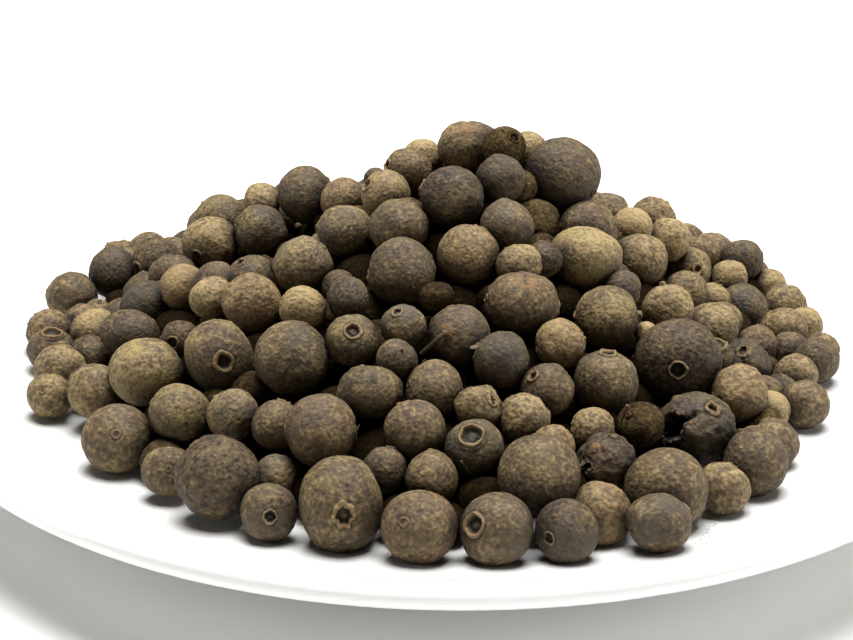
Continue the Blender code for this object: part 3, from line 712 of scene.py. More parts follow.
def pick_faces(item, wanted):
    """In edit mode, select the faces whose middle answers to wanted."""
    bpy.ops.object.mode_set(mode="EDIT")
    bpy.ops.mesh.select_mode(type="FACE")
    bpy.ops.mesh.select_all(action="DESELECT")
    work = bmesh.from_edit_mesh(item.data)
    for face in work.faces:
        face.select_set(bool(wanted(face.calc_center_median())))
    bmesh.update_edit_mesh(item.data)


def mark_selected(item, mark, share, other):
    """Write a mark's share to the selected corners in edit mode, and take the other mark off."""
    work = bmesh.from_edit_mesh(item.data)
    for name, value in ((mark, share), (other, 0.0)):
        layer = work.verts.layers.float.get(name) or work.verts.layers.float.new(name)
        for corner in work.verts:
            if corner.select:
                corner[layer] = value
    bmesh.update_edit_mesh(item.data)


def fray_selected(item):
    """Let the selected corners stray a little, each by its place, so that every run agrees."""
    work = bmesh.from_edit_mesh(item.data)
    for corner in work.verts:
        if corner.select:
            corner.co += FRAY * noise.noise_vector(corner.co / FRAY_GRAIN)
    bmesh.update_edit_mesh(item.data)


def read_corners(item):
    """The corners of a mesh as an array."""
    points = np.zeros(len(item.data.vertices) * 3)
    item.data.vertices.foreach_get("co", points)
    return points.reshape(-1, 3)


def move_corners(item, rule):
    """Move every corner of a mesh by a rule on its coordinates."""
    item.data.vertices.foreach_set("co", rule(read_corners(item)).ravel())
    item.data.update()


def apply_modifier(item, kind, **settings):
    """Add a modifier with its settings and apply it."""
    modifier = item.modifiers.new(kind.lower(), kind)
    for name, value in settings.items():
        setattr(modifier, name, value)
    bpy.ops.object.modifier_apply(modifier=modifier.name)


def roughen(item, kind, size, strength, shift):
    """Displace a mesh along its normals by a noise of this feature size."""
    texture = bpy.data.textures.new("lumps", kind)
    texture.noise_scale = size
    if kind == "CLOUDS":
        texture.noise_basis, texture.noise_depth = "IMPROVED_PERLIN", 1
    item.data.transform(Matrix.Translation((shift, shift / 2, 0)))
    apply_modifier(item, "DISPLACE", texture=texture, strength=strength, texture_coords="LOCAL")
    item.data.transform(Matrix.Translation((-shift, -shift / 2, 0)))
    bpy.data.textures.remove(texture)


def finish_piece(item, material, node="berries"):
    """Give a piece its material and tie it to the part."""
    item.data.materials.clear()
    item.data.materials.append(material)
    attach(item, "root")
    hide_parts(node)


# ---------------------------------------------------------------- berries, one of each kind

def step_rings(item, steps, scale=1.0):
    """Inset and raise the selected cap ring by ring, marking each."""
    for inset, rise, mark, share in steps:
        bpy.ops.mesh.inset(thickness=inset * scale, depth=rise * scale)
        mark_selected(item, mark, share, "pit_and_shade" if mark == "rim" else "rim")
    bpy.ops.mesh.poke()


def shape_crown(item, form, width, ragged):
    """Raise the crown on top: a rim with four worn lobes round a dark hollow."""
    pick_faces(item, lambda middle: middle.z > CROWN_CAP)
    bpy.ops.mesh.dissolve_faces()
    bpy.ops.transform.resize(value=(width, width, 1), center_override=(0, 0, 1))
    step_rings(item, CROWN_STEPS[form], width)
    bpy.ops.object.mode_set(mode="OBJECT")

    def lobes(points):
        around = np.arctan2(points[:, 1], points[:, 0])
        reach = np.hypot(points[:, 0], points[:, 1]) / width
        rim, hole = [
            np.exp(-((reach - radius) / wide)**2) * (points[:, 2] > 0.5)
            for radius, wide in (CROWN_RIM, CROWN_HOLE)
        ]
        wave = 0.5 + 0.35 * np.cos(4 * around) + 0.15 * np.cos(5 * around + 2)
        wave += ragged * np.sin(7 * around + 1) + 0.12 * np.sin(11 * around)
        moved = points.copy()
        moved[:, :2] *= 1 + (0.12 + 0.14 * ragged) * (rim * (wave - 0.5))[:, None]
        moved[:, :2] *= 1 + 0.16 * (hole * (wave - 0.5))[:, None]
        moved[:, 2] += (0.035 + 0.06 * ragged) * rim * wave
        return moved

    move_corners(item, lobes)


def shape_stem_end(item, steps):
    """Sink the stem scar at the bottom, or raise the stub that is left of the stem."""
    pick_faces(item, lambda middle: middle.z < STEM_CAP)
    bpy.ops.mesh.dissolve_faces()
    step_rings(item, steps)
    bpy.ops.object.mode_set(mode="OBJECT")


def open_skin(item, latitude, wide, long, ragged, crack):
    """Break the skin open on the +X side, with ragged lips, and crack it up to the crown."""

    def unrolled(points):
        length = np.linalg.norm(points, axis=1)
        height = np.arcsin(points[:, 2] / length)
        return length, height, np.arctan2(points[:, 1], points[:, 0]) * np.cos(height)

    def opening(height, aside):
        around = np.arctan2((height - latitude) / long, aside / wide)
        edge = 1 + ragged * (np.sin(5 * around + 1) + 0.5 * np.sin(11 * around))
        return around, edge, np.hypot(aside / wide, (height - latitude) / long) / edge

    def snap(points):
        length, height, aside = unrolled(points)
        around, edge, share = opening(height, aside)
        near = np.abs(share - 1) < SNAP
        height = np.where(near, latitude + long * edge * np.sin(around), height)
        aside = np.where(near, wide * edge * np.cos(around), aside)
        turn = aside / np.cos(height)
        flat = np.cos(height) * length
        return np.stack([flat * np.cos(turn), flat * np.sin(turn), np.sin(height) * length], axis=1)

    def crack_depth(points):
        height, aside = unrolled(points)[1:]
        apart = (aside - CRACK_WAVE * np.sin(9 * height)) / CRACK_WIDTH
        ends = np.clip((height - latitude) * 8, 0, 1) * np.clip((crack - height) * 8, 0, 1)
        return np.exp(-apart**2) * ends * (points[:, 0] > 0)

    def inside(middle):
        return opening(*unrolled(np.array([middle]))[1:])[-1][0] < 1

    move_corners(item, snap)
    # The crack's groove is painted dark with the pit mark: painted shade in it
    depth = crack_depth(read_corners(item))
    layer = item.data.attributes.get("pit_and_shade") or item.data.attributes.new("pit_and_shade", "FLOAT", "POINT")
    marks = np.zeros(len(depth))
    layer.data.foreach_get("value", marks)
    layer.data.foreach_set("value", np.maximum(marks, (2 * depth).clip(0, 1)))
    move_corners(item, lambda points: points * (1 - CRACK_DEPTH * depth)[:, None])
    pick_faces(item, inside)
    for inset, reach, mark, share in TORN_EDGE:
        bpy.ops.mesh.inset(thickness=inset, depth=0, use_even_offset=False)
        bpy.ops.transform.resize(value=(reach, reach, reach), center_override=(0, 0, 0))
        if reach > 1:
            fray_selected(item)
        mark_selected(item, mark, share, "pit_and_shade" if mark == "flesh" else "flesh")
    bpy.ops.object.mode_set(mode="OBJECT")


def pinch_waist(points):
    """A groove round the middle, as where two seeds press the skin out."""
    groove = WAIST_DEPTH * np.exp(-(points[:, 0] / WAIST_WIDTH)**2)
    return points * np.stack([np.ones(len(points)), 1 - groove, 1 - groove], axis=1)


def model_berry(number, kind, lumps, wrinkles, height, squareness, form, crown, fine):
    """Model one berry of radius 1 from a sphere."""
    deselect_all()
    bpy.ops.mesh.primitive_uv_sphere_add(segments=SEGMENTS, ring_count=RINGS, radius=1)
    berry = bpy.context.object
    shape_crown(berry, form, crown, RAGGED.get(kind, USUAL_RAGGED))
    shape_stem_end(berry, STUB_STEPS if kind == "stem_stub" else SCAR_STEPS)
    if kind == "bilobed":
        move_corners(berry, pinch_waist)
    if fine:
        levels = 2 if kind in BROKEN else 1
        apply_modifier(berry, "SUBSURF", levels=levels, render_levels=levels)
    if kind in BROKEN and fine:
        open_skin(berry, *BROKEN[kind])
    apply_modifier(berry, "CAST", cast_type="CUBOID", factor=squareness)
    roughen(berry, "CLOUDS", LUMP_SIZE, lumps, LUMPS_AT + KIND_STEP * number)
    if fine:
        roughen(berry, "CLOUDS", WRINKLE_SIZE, wrinkles, WRINKLES_AT + KIND_STEP * number)
    if kind in CREASES:
        roughen(berry, "VORONOI", *CREASES[kind], CREASE_STEP * number)
    berry.data.transform(Matrix.Diagonal((1, 1, height, 1)))
    return berry


def take_shape(item):
    """Turn an object into arrays: corners, faces' corners, faces' starts and marks."""
    mesh = item.data
    corners = read_corners(item)
    around = np.zeros(len(mesh.loops), dtype=np.int64)
    mesh.loops.foreach_get("vertex_index", around)
    starts = np.zeros(len(mesh.polygons), dtype=np.int64)
    mesh.polygons.foreach_get("loop_start", starts)
    marks = {}
    for name in ("rim", "pit_and_shade", "flesh"):
        marks[name] = np.zeros(len(corners))
        if name in mesh.attributes:
            mesh.attributes[name].data.foreach_get("value", marks[name])
    size = np.sqrt((corners**2).sum(axis=1).mean())
    bpy.data.objects.remove(item, do_unlink=True)
    return {"corners": corners / size, "around": around, "starts": starts, "marks": marks}


def turn_towards(direction, spin):
    """A turn that brings +Z to a direction, after a spin about it."""
    quaternion = Vector(direction).to_track_quat("Z", "X")
    return np.array(quaternion.to_matrix() @ Matrix.Rotation(spin, 3, "Z"))


def wear_patch(shape, turn, direction, reach):
    """A berry's shape with a worn patch in the direction that the turned shape shows."""
    ways = shape["corners"] @ turn.T
    ways /= np.linalg.norm(ways, axis=1, keepdims=True)
    apart = np.arccos((ways @ direction).clip(-1, 1))
    worn = np.clip(WORN_MIDDLE - WORN_FALL * apart / reach, 0.0, 1.0)
    marks = {**shape["marks"], "flesh": np.maximum(shape["marks"]["flesh"], worn)}
    return {**shape, "marks": marks}


def join_copies(name, copies):
    """One mesh of many berries: each copy is a shape, a turn, a middle, a radius and tones."""
    corners, around, starts, marks = [], [], [], {}
    corner_count = loop_count = 0
    for shape, turn, middle, radius, tones in copies:
        corners.append(middle + radius * shape["corners"] @ turn.T)
        around.append(shape["around"] + corner_count)
        starts.append(shape["starts"] + loop_count)
        for mark, values in {**shape["marks"], **tones}.items():
            marks.setdefault(mark, []).append(np.zeros(len(shape["corners"])) + values)
        corner_count += len(shape["corners"])
        loop_count += len(shape["around"])
    mesh = bpy.data.meshes.new(name)
    mesh.vertices.add(corner_count)
    mesh.vertices.foreach_set("co", np.concatenate(corners).ravel())
    mesh.loops.add(loop_count)
    mesh.loops.foreach_set("vertex_index", np.concatenate(around))
    mesh.polygons.add(sum(len(part) for part in starts))
    mesh.polygons.foreach_set("loop_start", np.concatenate(starts))
    mesh.update(calc_edges=True)
    mesh.validate()
    mesh.shade_smooth()
    for mark, values in marks.items():
        layer = mesh.attributes.new(mark, "FLOAT", "POINT")
        layer.data.foreach_set("value", np.concatenate(values))
    item = bpy.data.objects.new(name, mesh)
    bpy.context.scene.collection.objects.link(item)
    return item


# ---------------------------------------------------------------- where things lie

def point_on_berry(camera, pixel, middle, radius):
    """Unit direction from a berry's middle to where the camera sees a pixel on it."""
    sight = unit(sight_through(camera, *pixel))
    offset = middle - camera[0]
    along = offset @ sight
    aside = offset - along * sight
    reach = radius**2 - aside @ aside
    return unit(-aside if reach <= 0 else (along - math.sqrt(reach)) * sight - offset)


def point_on_heap(camera, pixel, middles, radii):
    """Where the camera's line of sight first meets a berry, and the surface's direction."""
    sight = unit(sight_through(camera, *pixel))
    offset = middles - camera[0]
    along = offset @ sight
    reach = radii**2 - ((offset - along[:, None] * sight)**2).sum(axis=1)
    depth = np.where(reach > 0, along - np.sqrt(np.maximum(reach, 0)), np.inf)
    nearest = int(np.argmin(depth))
    point = camera[0] + depth[nearest] * sight
    return point, (point - middles[nearest]) / radii[nearest]


def point_on_dish(camera, pixel):
    """Where the camera's line of sight meets the dish's upper face."""
    depths = np.linspace(NEAREST, FARTHEST, SIGHT_STEPS)
    points = camera[0] + depths[:, None] * unit(sight_through(camera, *pixel))
    reach = np.hypot(points[:, 0], points[:, 1])
    return points[np.nonzero((points[:, 2] < dish_top(reach)) & (reach < lip_start()))[0][0]]


def tones_of(index, draw, shade):
    """How light and how grey a berry is: as in the photograph, or drawn at random."""
    tone, grey = draw.normal(MIDDLE_TONE, TONE_SPREAD), draw.uniform(*ANY_GREY)
    olive, warm = draw.uniform(*ANY_OLIVE), draw.uniform(*ANY_WARM)
    much, share = draw.uniform(*MUCH), draw.uniform(0, 1)
    for indices, least, greatest in TONES:
        if index in indices:
            tone = least + share * (greatest - least)
    if index in TAN_SEEN | PALE_SEEN | PALEST_WITH_PAINTED_LIGHT_SEEN:
        grey = LITTLE
    if index in GREY_SEEN:
        grey = much
    if index in OLIVE_SEEN:
        olive, warm = much, 0.0
    if index in WARM_SEEN:
        warm, olive = much, LITTLE
    return {"tone": tone, "grey": grey, "olive": olive, "warm": warm, "shade": shade}


def deep_berries(draw, camera, middles, radii):
    """More berries further in, laid wherever the outer ones leave room."""
    seen = picture_discs(camera, middles[:COUNT_SEEN], radii[:COUNT_SEEN])
    middles, radii = list(middles), list(radii)
    for below in DEEP_LAYERS:
        for radius in draw.uniform(*DEEP_RADII, DEEP_THROWS):
            turn = draw.uniform(0, 2 * math.pi)
            reach = math.sqrt(draw.uniform(0, 1)) * (HEAP_RADIUS - radius - below)
            x, y = HEAP_X + reach * math.cos(turn), HEAP_Y + reach * math.sin(turn)
            height = max(outer_height(x, y, radius) - below, resting_height(x, y, radius))
            middle = np.array([x, y, height])
            if crowded(middles, radii, middle, radius, DEEP_SPACING):
                continue
            if not covers_seen(picture_discs(camera, middle[None], radius)[0], seen):
                middles.append(middle)
                radii.append(radius)
    return np.array(middles), np.array(radii)


def buried_shades(middles, radii):
    """Painted shade on each berry as a whole, by the share of the sky that the others hide from it.
    """
    turns = np.arange(SKY_RAYS) * math.pi * (3 - math.sqrt(5))   # the golden angle spreads them
    heights = (np.arange(SKY_RAYS) + 0.5) / SKY_RAYS
    level = np.sqrt(1 - heights**2)
    rays = np.stack([level * np.cos(turns), level * np.sin(turns), heights])
    shades = [SHADED_SEEN.get(index, 0.0) for index in range(COUNT_SEEN)]
    for index in range(COUNT_SEEN, len(middles)):
        apart = np.delete(middles, index, axis=0) - middles[index]
        along = apart @ rays
        beside = (apart**2).sum(axis=1)[:, None] - along**2
        hidden = (along > 0) & (beside < np.delete(radii, index)[:, None]**2)
        sky = 1 - hidden.any(axis=0).mean()
        share = (SHADE_FROM - sky) / (SHADE_FROM - SHADE_FULL)
        shades.append(DEEPEST_SHADE * min(max(share, 0), 1))
    return shades


def touch_shades(index, points, middles, radii):
    """Painted shade on a berry's skin at each point, where the berries that it touches keep light
    off.
    """
    apart = np.linalg.norm(middles - middles[index], axis=1)
    reach = TOUCH_REACH * radii[index]
    near = np.nonzero(apart < radii[index] + radii + reach)[0]
    light = np.ones(len(points))
    for other in near[near != index]:
        gap = np.linalg.norm(points - middles[other], axis=1) - radii[other]
        light *= 1 - TOUCH_SHADE * (1 - gap / reach).clip(0, 1)**2
    return 1 - light


def crown_direction(index, camera, middle, radius, draw):
    """Which way a berry's crown points."""
    if index in CROWNS_SEEN:
        return point_on_berry(camera, CROWNS_SEEN[index], middle, radius)
    if index in SCARS_SEEN:
        return -point_on_berry(camera, SCARS_SEEN[index], middle, radius)
    direction = draw.normal(0, 1, 3)
    if index < COUNT_SEEN:
        sight = unit(middle - camera[0])
        direction -= (direction @ sight) * sight
        direction = unit(direction) + draw.uniform(*CROWN_HIDDEN) * sight
    return unit(direction)


# ---------------------------------------------------------------- materials

def new_material(name):
    """A material, its node tree, its shader and the places that its patterns read."""
    material = bpy.data.materials.new(name)
    material.use_nodes = True
    tree = material.node_tree
    place = add_node(tree, "ShaderNodeTexCoord", "Object")
    return material, tree, tree.nodes["Principled BSDF"], place


def clouded_colour(tree, place, size_mm, detail, first, second):
    """A colour that drifts between two, in clouds of this size."""
    cloud = add_node(
        tree, "ShaderNodeTexNoise", "Fac",
        {"Vector": place, "Scale": 1000 / size_mm, "Detail": detail},
    )
    return add_node(
        tree, "ShaderNodeMix", MIX_COLOUR,
        {MIX_SHARE: cloud, MIX_FIRST: (*first, 1), MIX_SECOND: (*second, 1)}, data_type="RGBA",
    )


def skin_grain(tree, place):
    """The patterns of the skin: patches, mottling, warts, oil glands and speckles."""
    elsewhere = add_node(
        tree, "ShaderNodeMapping", "Vector", {"Vector": place, "Location": GREY_PATCH_PLACE},
    )
    grain = {}
    for pattern, size, detail, roughness in SKIN_GRAIN:
        grain[pattern] = add_node(tree, "ShaderNodeTexNoise", "Fac", {
            "Vector": elsewhere if pattern == "grey_patch" else place,
            "Scale": 1000 / size, "Detail": detail, "Roughness": roughness,
        })
    drift = add_node(
        tree, "ShaderNodeTexNoise", "Color",
        {"Vector": place, "Scale": 1000 / GLAND_DRIFT, "Detail": 1.0},
    )
    drifted = add_node(
        tree, "ShaderNodeVectorMath", "Vector", {0: drift, 1: (GLAND_DRIFT * MM,) * 3, 2: place},
        operation="MULTIPLY_ADD",
    )
    grain["gland"] = add_node(
        tree, "ShaderNodeTexVoronoi", "Distance", {"Vector": drifted, "Scale": 1000 / GLAND_SIZE},
    )
    return grain


def berry_skin(settings, name, roughness, specular):
    """Dried allspice skin: a matt husk, warty with oil glands, speckled tan on dark brown, with
    painted shade near black in its hollows, grooves and openings and over berries where little
    light comes.
    """
    material, tree, shader, place = new_material(name)
    marks = {
        mark: add_node(tree, "ShaderNodeAttribute", "Fac", attribute_name=mark)
        for mark in ("tone", "olive", "warm", "grey", "rim", "flesh", "pit_and_shade", "shade")
    }
    grain = skin_grain(tree, place)
    light, relief = marks["tone"], 0.0
    for pattern, in_tone, in_relief in GRAIN_SHARES:
        centred = add_node(
            tree, "ShaderNodeMath", 0, {0: grain[pattern], 1: 0.5}, operation="SUBTRACT",
        )
        light = add_node(
            tree, "ShaderNodeMath", 0, {0: centred, 1: in_tone, 2: light},
            operation="MULTIPLY_ADD",
        )
        relief = add_node(
            tree, "ShaderNodeMath", 0, {0: grain[pattern], 1: in_relief, 2: relief},
            operation="MULTIPLY_ADD",
        )
    grain["light"] = add_node(tree, "ShaderNodeClamp", "Result", {"Value": light})
    for mark, pattern, least, gain in PATCHY_MARKS:
        share = add_node(
            tree, "ShaderNodeMapRange", "Result",
            {"Value": grain[pattern], "From Min": least, "From Max": least + 1 / gain},
        )
        marks[mark] = add_node(
            tree, "ShaderNodeMath", 0, {0: marks[mark], 1: share}, operation="MULTIPLY",
        )
    colour = add_node(tree, "ShaderNodeValToRGB", "Color", {"Fac": grain["light"]})
    stops = colour.node.color_ramp.elements
    stops[0].position, stops[0].color = DARKEST_STOP, (*settings.shadow, 1)
    stops[1].position, stops[1].color = 1.0, (*settings.tan, 1)
    stops.new(0.5).color = (*settings.brown, 1)
    # The pit mark and the shade mark both mix towards the near black of the hollows, as painted
    # shade
    for mark, tint in (
        ("olive", settings.olive), ("warm", settings.ruddy), ("grey", settings.grey),
        ("rim", settings.rim), ("flesh", settings.flesh), ("pit_and_shade", settings.pit_and_shade),
        ("shade", settings.pit_and_shade),
    ):
        colour = add_node(
            tree, "ShaderNodeMix", MIX_COLOUR,
            {MIX_SHARE: marks[mark], MIX_FIRST: colour, MIX_SECOND: (*tint, 1)}, data_type="RGBA",
        )
    normal = add_node(
        tree, "ShaderNodeBump", "Normal",
        {"Height": relief, "Strength": 0.9, "Distance": settings.wart_height},
    )
    set_inputs(shader, {
        "Base Color": colour, "Normal": normal, "Roughness": roughness,
        "Specular IOR Level": specular,
    })
    return material


def shaded_husk():
    """Painted shade for the heap's inside: the husk near black and dull, as where hardly any light
    comes.
    """
    material, tree, shader, place = new_material("shaded_allspice_husk")
    colour = clouded_colour(tree, place, 1.5, 3.0, linear("#020101"), linear("#0a0705"))
    set_inputs(shader, {"Base Color": colour, "Roughness": 0.95, "Specular IOR Level": 0.0})
    return material


def torn_husk(settings):
    """Torn husk and stalk: dry fibres, streaked from dark brown to the tan of a crown's rim."""
    material, tree, shader, place = new_material("torn_allspice_husk")
    fibre = add_node(
        tree, "ShaderNodeTexNoise", "Fac",
        {"Vector": place, "Scale": 1000 / 0.5, "Detail": 4.0, "Roughness": 0.7},
    )
    streak = add_node(
        tree, "ShaderNodeMapRange", "Result", {"Value": fibre, "From Min": 0.35, "From Max": 0.75},
    )
    dark, tan = (*settings.shadow, 1), (*settings.rim, 1)
    colour = add_node(
        tree, "ShaderNodeMix", MIX_COLOUR, {MIX_SHARE: streak, MIX_FIRST: dark, MIX_SECOND: tan},
        data_type="RGBA",
    )
    normal = add_node(
        tree, "ShaderNodeBump", "Normal", {"Height": fibre, "Strength": 0.6, "Distance": 0.1 * MM},
    )
    set_inputs(shader, {"Base Color": colour, "Normal": normal, "Roughness": 0.8})
    return material


def porcelain_glaze(settings):
    """Glazed porcelain: white body under a clear glaze that pools in faint waves."""
    material, tree, shader, place = new_material("glazed_white_porcelain")
    colour = clouded_colour(tree, place, 30.0, 2.0, settings.glaze, linear("#e8e8e5"))
    ripple = add_node(
        tree, "ShaderNodeTexNoise", "Fac", {"Vector": place, "Scale": 1000 / 9.0, "Detail": 1.0},
    )
    normal = add_node(
        tree, "ShaderNodeBump", "Normal",
        {"Height": ripple, "Strength": 0.15, "Distance": 0.1 * MM},
    )
    set_inputs(shader, {
        "Base Color": colour, "Normal": normal, "Roughness": settings.roughness,
        "Coat Weight": 0.5, "Coat Roughness": 0.03,
    })
    return material


def matt_table(settings):
    """A painted table top: plain, matt and white."""
    material, tree, shader, place = new_material("matt_white_table")
    colour = clouded_colour(tree, place, 250.0, 2.0, settings.floor, linear("#fbfbfa"))
    set_inputs(shader, {"Base Color": colour, "Roughness": 0.9})
    return material


# ---------------------------------------------------------------- settings

def colour_setting(name, description, code):
    """A colour that a user can change."""
    return bpy.props.FloatVectorProperty(
        name=name, description=description, subtype="COLOR", size=3, min=0, max=1,
        default=linear(code),
    )


def power_setting(name, description, watts):
    """A light's power that a user can change."""
    return bpy.props.FloatProperty(
        name=name, description=description, default=watts, unit="POWER",
    )


class BerrySettings(bpy.types.PropertyGroup):
    """Sizes and colours of the berries."""

    seed: bpy.props.IntProperty(
        name="Seed", description="Draws the turns and tones of the berries", default=11,
    )
    wart_height: bpy.props.FloatProperty(
        name="Wart height", description="Height of the fine relief of the skin",
        default=0.085 * MM, unit="LENGTH", precision=5,
    )
    # The dark inside is painted shade
    core_depth: bpy.props.FloatProperty(
        name="Core depth", description="How far the dark inside lies under the outer berries",
        default=8 * MM, unit="LENGTH",
    )
    shadow: colour_setting("Dark skin", "Darkest brown of the skin", "#241b13")
    brown: colour_setting("Brown skin", "Middle brown of the skin", "#584832")
    tan: colour_setting("Tan skin", "Lightest tan of the skin", "#a08a60")
    olive: colour_setting("Olive skin", "Yellowish olive of some berries", "#8a7a48")
    ruddy: colour_setting("Ruddy skin", "Reddish tan of some berries", "#80633f")
    grey: colour_setting("Grey skin", "Brownish grey of worn patches", "#4a4338")
    rim: colour_setting("Crown rim", "Tan brown of the crown's rim and of torn edges", "#7d6745")
    flesh: colour_setting("Flesh", "Orange tan of the torn husk's inside", "#775a38")
    # Near black of the hollows, partly their dark husk and partly painted shade; the berries'
    # painted shade takes it too
    pit_and_shade: colour_setting("Crown hollow", "Near black inside of a crown", "#0c0704")


class DishSettings(bpy.types.PropertyGroup):
    """Finish of the dish."""

    glaze: colour_setting("Glaze", "White of the glazed body", "#e2e2df")
    roughness: bpy.props.FloatProperty(
        name="Roughness", description="Roughness of the glaze", default=0.04, min=0, max=1,
        subtype="FACTOR",
    )


class StageSettings(bpy.types.PropertyGroup):
    """Floor and lights."""

    floor: colour_setting("Floor", "White of the table top", "#f2f2f0")
    key_power: power_setting("Key light", "Power of the large light overhead", 8.9)
    fill_power: power_setting("Fill light", "Power of the light beside the camera", 0.55)
    side_power: power_setting(
        "Side light", "Power of the light at the right; the left has half of it", 3.4,
    )
    surround: bpy.props.FloatProperty(
        name="Surround", description="Brightness of the room", default=0.02, min=0,
    )


SETTINGS = {
    "allspice_berries": BerrySettings, "allspice_dish": DishSettings,
    "allspice_stage": StageSettings,
}
SHAPES_MADE = {}                   # the kinds of berry as arrays
LAID = {}                          # middles and radii of the outer berries


# ---------------------------------------------------------------- operators

class ALLSPICE_OT_model_berries(bpy.types.Operator):
    """Model one berry of each kind, with its crown and its stem end"""

    bl_idname = "allspice.model_berries"
    bl_label = "Model the kinds of berry"

    def execute(self, context):
        for fine in (True, False):
            for number, shape in enumerate(SHAPES):
                SHAPES_MADE[shape[0], fine] = take_shape(model_berry(number, *shape, fine))
        deselect_all()
        bpy.ops.mesh.primitive_ico_sphere_add(subdivisions=2, radius=1)
        crumb = bpy.context.object
        roughen(crumb, "CLOUDS", LUMP_SIZE, CRUMB_LUMPS, CRUMB_LUMPS_AT)
        SHAPES_MADE["crumb"] = take_shape(crumb)
        return {"FINISHED"}


class ALLSPICE_OT_heap_berries(bpy.types.Operator):
    """Lay the berries on the heap and join them, the odd kinds as pieces of their own"""

    bl_idname = "allspice.heap_berries"
    bl_label = "Heap the berries"

    def execute(self, context):
        settings = context.scene.allspice_berries
        draw = np.random.default_rng(settings.seed)
        camera = camera_frame()
        LAID["middles"], LAID["radii"] = arrange_berries()
        middles, radii = deep_berries(draw, camera, LAID["middles"], LAID["radii"])
        shades = buried_shades(middles, radii)
        groups = {}
        for index, (middle, radius) in enumerate(zip(middles, radii)):
            seen = index < COUNT_SEEN
            rare = draw.uniform() < RARE_SHARE and not seen
            kind = str(draw.choice(RARE_KINDS if rare else COMMON_KINDS))
            kind = KINDS_SEEN.get(index, kind)
            turn = turn_towards(
                crown_direction(index, camera, middle, radius, draw),
                draw.uniform(0, 2 * math.pi),
            )
            if index in OPENINGS_SEEN:
                turn = self.turn_opening(index, camera, middle, radius, turn)
            stretch = draw.normal(1.0, STRETCH, 3).clip(1 - MOST_STRETCH, 1 + MOST_STRETCH)
            turn = self.shown_aspect(index, camera) @ turn @ np.diag(stretch)
            shape = SHAPES_MADE[kind, seen]
            if index in WORN_SEEN:
                column, row, width = WORN_SEEN[index]
                direction = point_on_berry(camera, (column, row), middle, radius)
                reach = width / FOCAL_PIXELS * np.linalg.norm(middle - camera[0]) / radius / 2
                shape = wear_patch(shape, turn, direction, reach)
            points = middle + radius * shape["corners"] @ turn.T
            # Painted shade: the berry's own, or more where others touch it
            shade = np.maximum(shades[index], touch_shades(index, points, middles, radii))
            if kind in COMMON_KINDS + RARE_KINDS:
                kind = "seen" if seen else "unseen"
            # A berry under much painted shade goes to the shaded copy of the skin, without sheen
            if shades[index] > SUNKEN_SHADE:
                kind = "sunken"
            groups.setdefault(kind, []).append(
                (shape, turn, middle, radius, tones_of(index, draw, shade)),
            )
        self.join_groups(groups, settings)
        return {"FINISHED"}

    def turn_opening(self, index, camera, middle, radius, turn):
        """Turn a broken berry about its crown so that the opening shows."""
        towards = point_on_berry(camera, OPENINGS_SEEN[index], middle, radius)
        crown = turn @ (0, 0, 1)
        side = unit(towards - (towards @ crown) * crown)
        return np.stack([side, np.cross(crown, side), crown], axis=1)

    def shown_aspect(self, index, camera):
        """Stretch across and up the picture, for a berry that isn't round in it."""
        across, up = ASPECTS_SEEN.get(index, (1.0, 1.0))
        right, above = camera[1:3]
        wider = (across - 1) * np.outer(right, right)
        return np.eye(3) + wider + (up - 1) * np.outer(above, above)

    def join_groups(self, groups, settings):
        """Join each group into pieces that stay under a piece's size."""
        skin = berry_skin(settings, "dried_allspice_skin", 0.72, 0.32)
        # The second copy, dull and without sheen, is a shaded copy for berries under much painted
        # shade
        shaded_dull_skin = berry_skin(settings, "dried_allspice_skin_shaded_in_hollows", 0.95, 0.0)
        for group, copies in groups.items():
            shares, load = [[]], 0
            for copy in copies:
                count = len(copy[0]["around"]) - 2 * len(copy[0]["starts"])
                if load + count > PIECE_TRIANGLES:
                    shares.append([])
                    load = 0
                shares[-1].append(copy)
                load += count
            for number, share in enumerate(shares, start=1):
                item = join_copies(f"{group}_berries_{number}", share)
                finish_piece(item, shaded_dull_skin if group == "sunken" else skin)


class ALLSPICE_OT_heap_inside(bpy.types.Operator):
    """Fill the heap's inside under the berries with a near-black body of painted shade"""

    bl_idname = "allspice.heap_inside"
    bl_label = "Fill the heap's inside"

    def execute(self, context):
        depth = context.scene.allspice_berries.core_depth
        floor = WELL_HEIGHT + GAP
        deselect_all()
        bpy.ops.mesh.primitive_circle_add(
            vertices=CORE_VERTICES, radius=HEAP_RADIUS - depth, fill_type="NGON",
            location=(HEAP_X, HEAP_Y, floor),
        )
        core = bpy.context.object
        core.name = "heap_inside"
        bpy.ops.object.transform_apply()
        bpy.ops.object.mode_set(mode="EDIT")
        bpy.ops.mesh.select_all(action="SELECT")
        bpy.ops.mesh.extrude_region_move(TRANSFORM_OT_translate={"value": (0, 0, depth / 2)})
        for _ in range(CORE_RINGS - 1):
            bpy.ops.mesh.inset(thickness=(HEAP_RADIUS - depth) / CORE_RINGS)
        bpy.ops.mesh.poke()
        bpy.ops.mesh.select_all(action="SELECT")
        bpy.ops.mesh.normals_make_consistent(inside=False)
        bpy.ops.object.mode_set(mode="OBJECT")

        def dome(points):
            top = outer_height(points[:, 0], points[:, 1], MEAN_RADIUS) - depth
            top = np.maximum(top, floor + CORE_EDGE)
            raised = points.copy()
            raised[:, 2] = np.where(points[:, 2] > floor + CORE_EDGE, top, floor)
            return raised

        move_corners(core, dome)
        core.data.shade_smooth()
        finish_piece(core, shaded_husk())
        return {"FINISHED"}


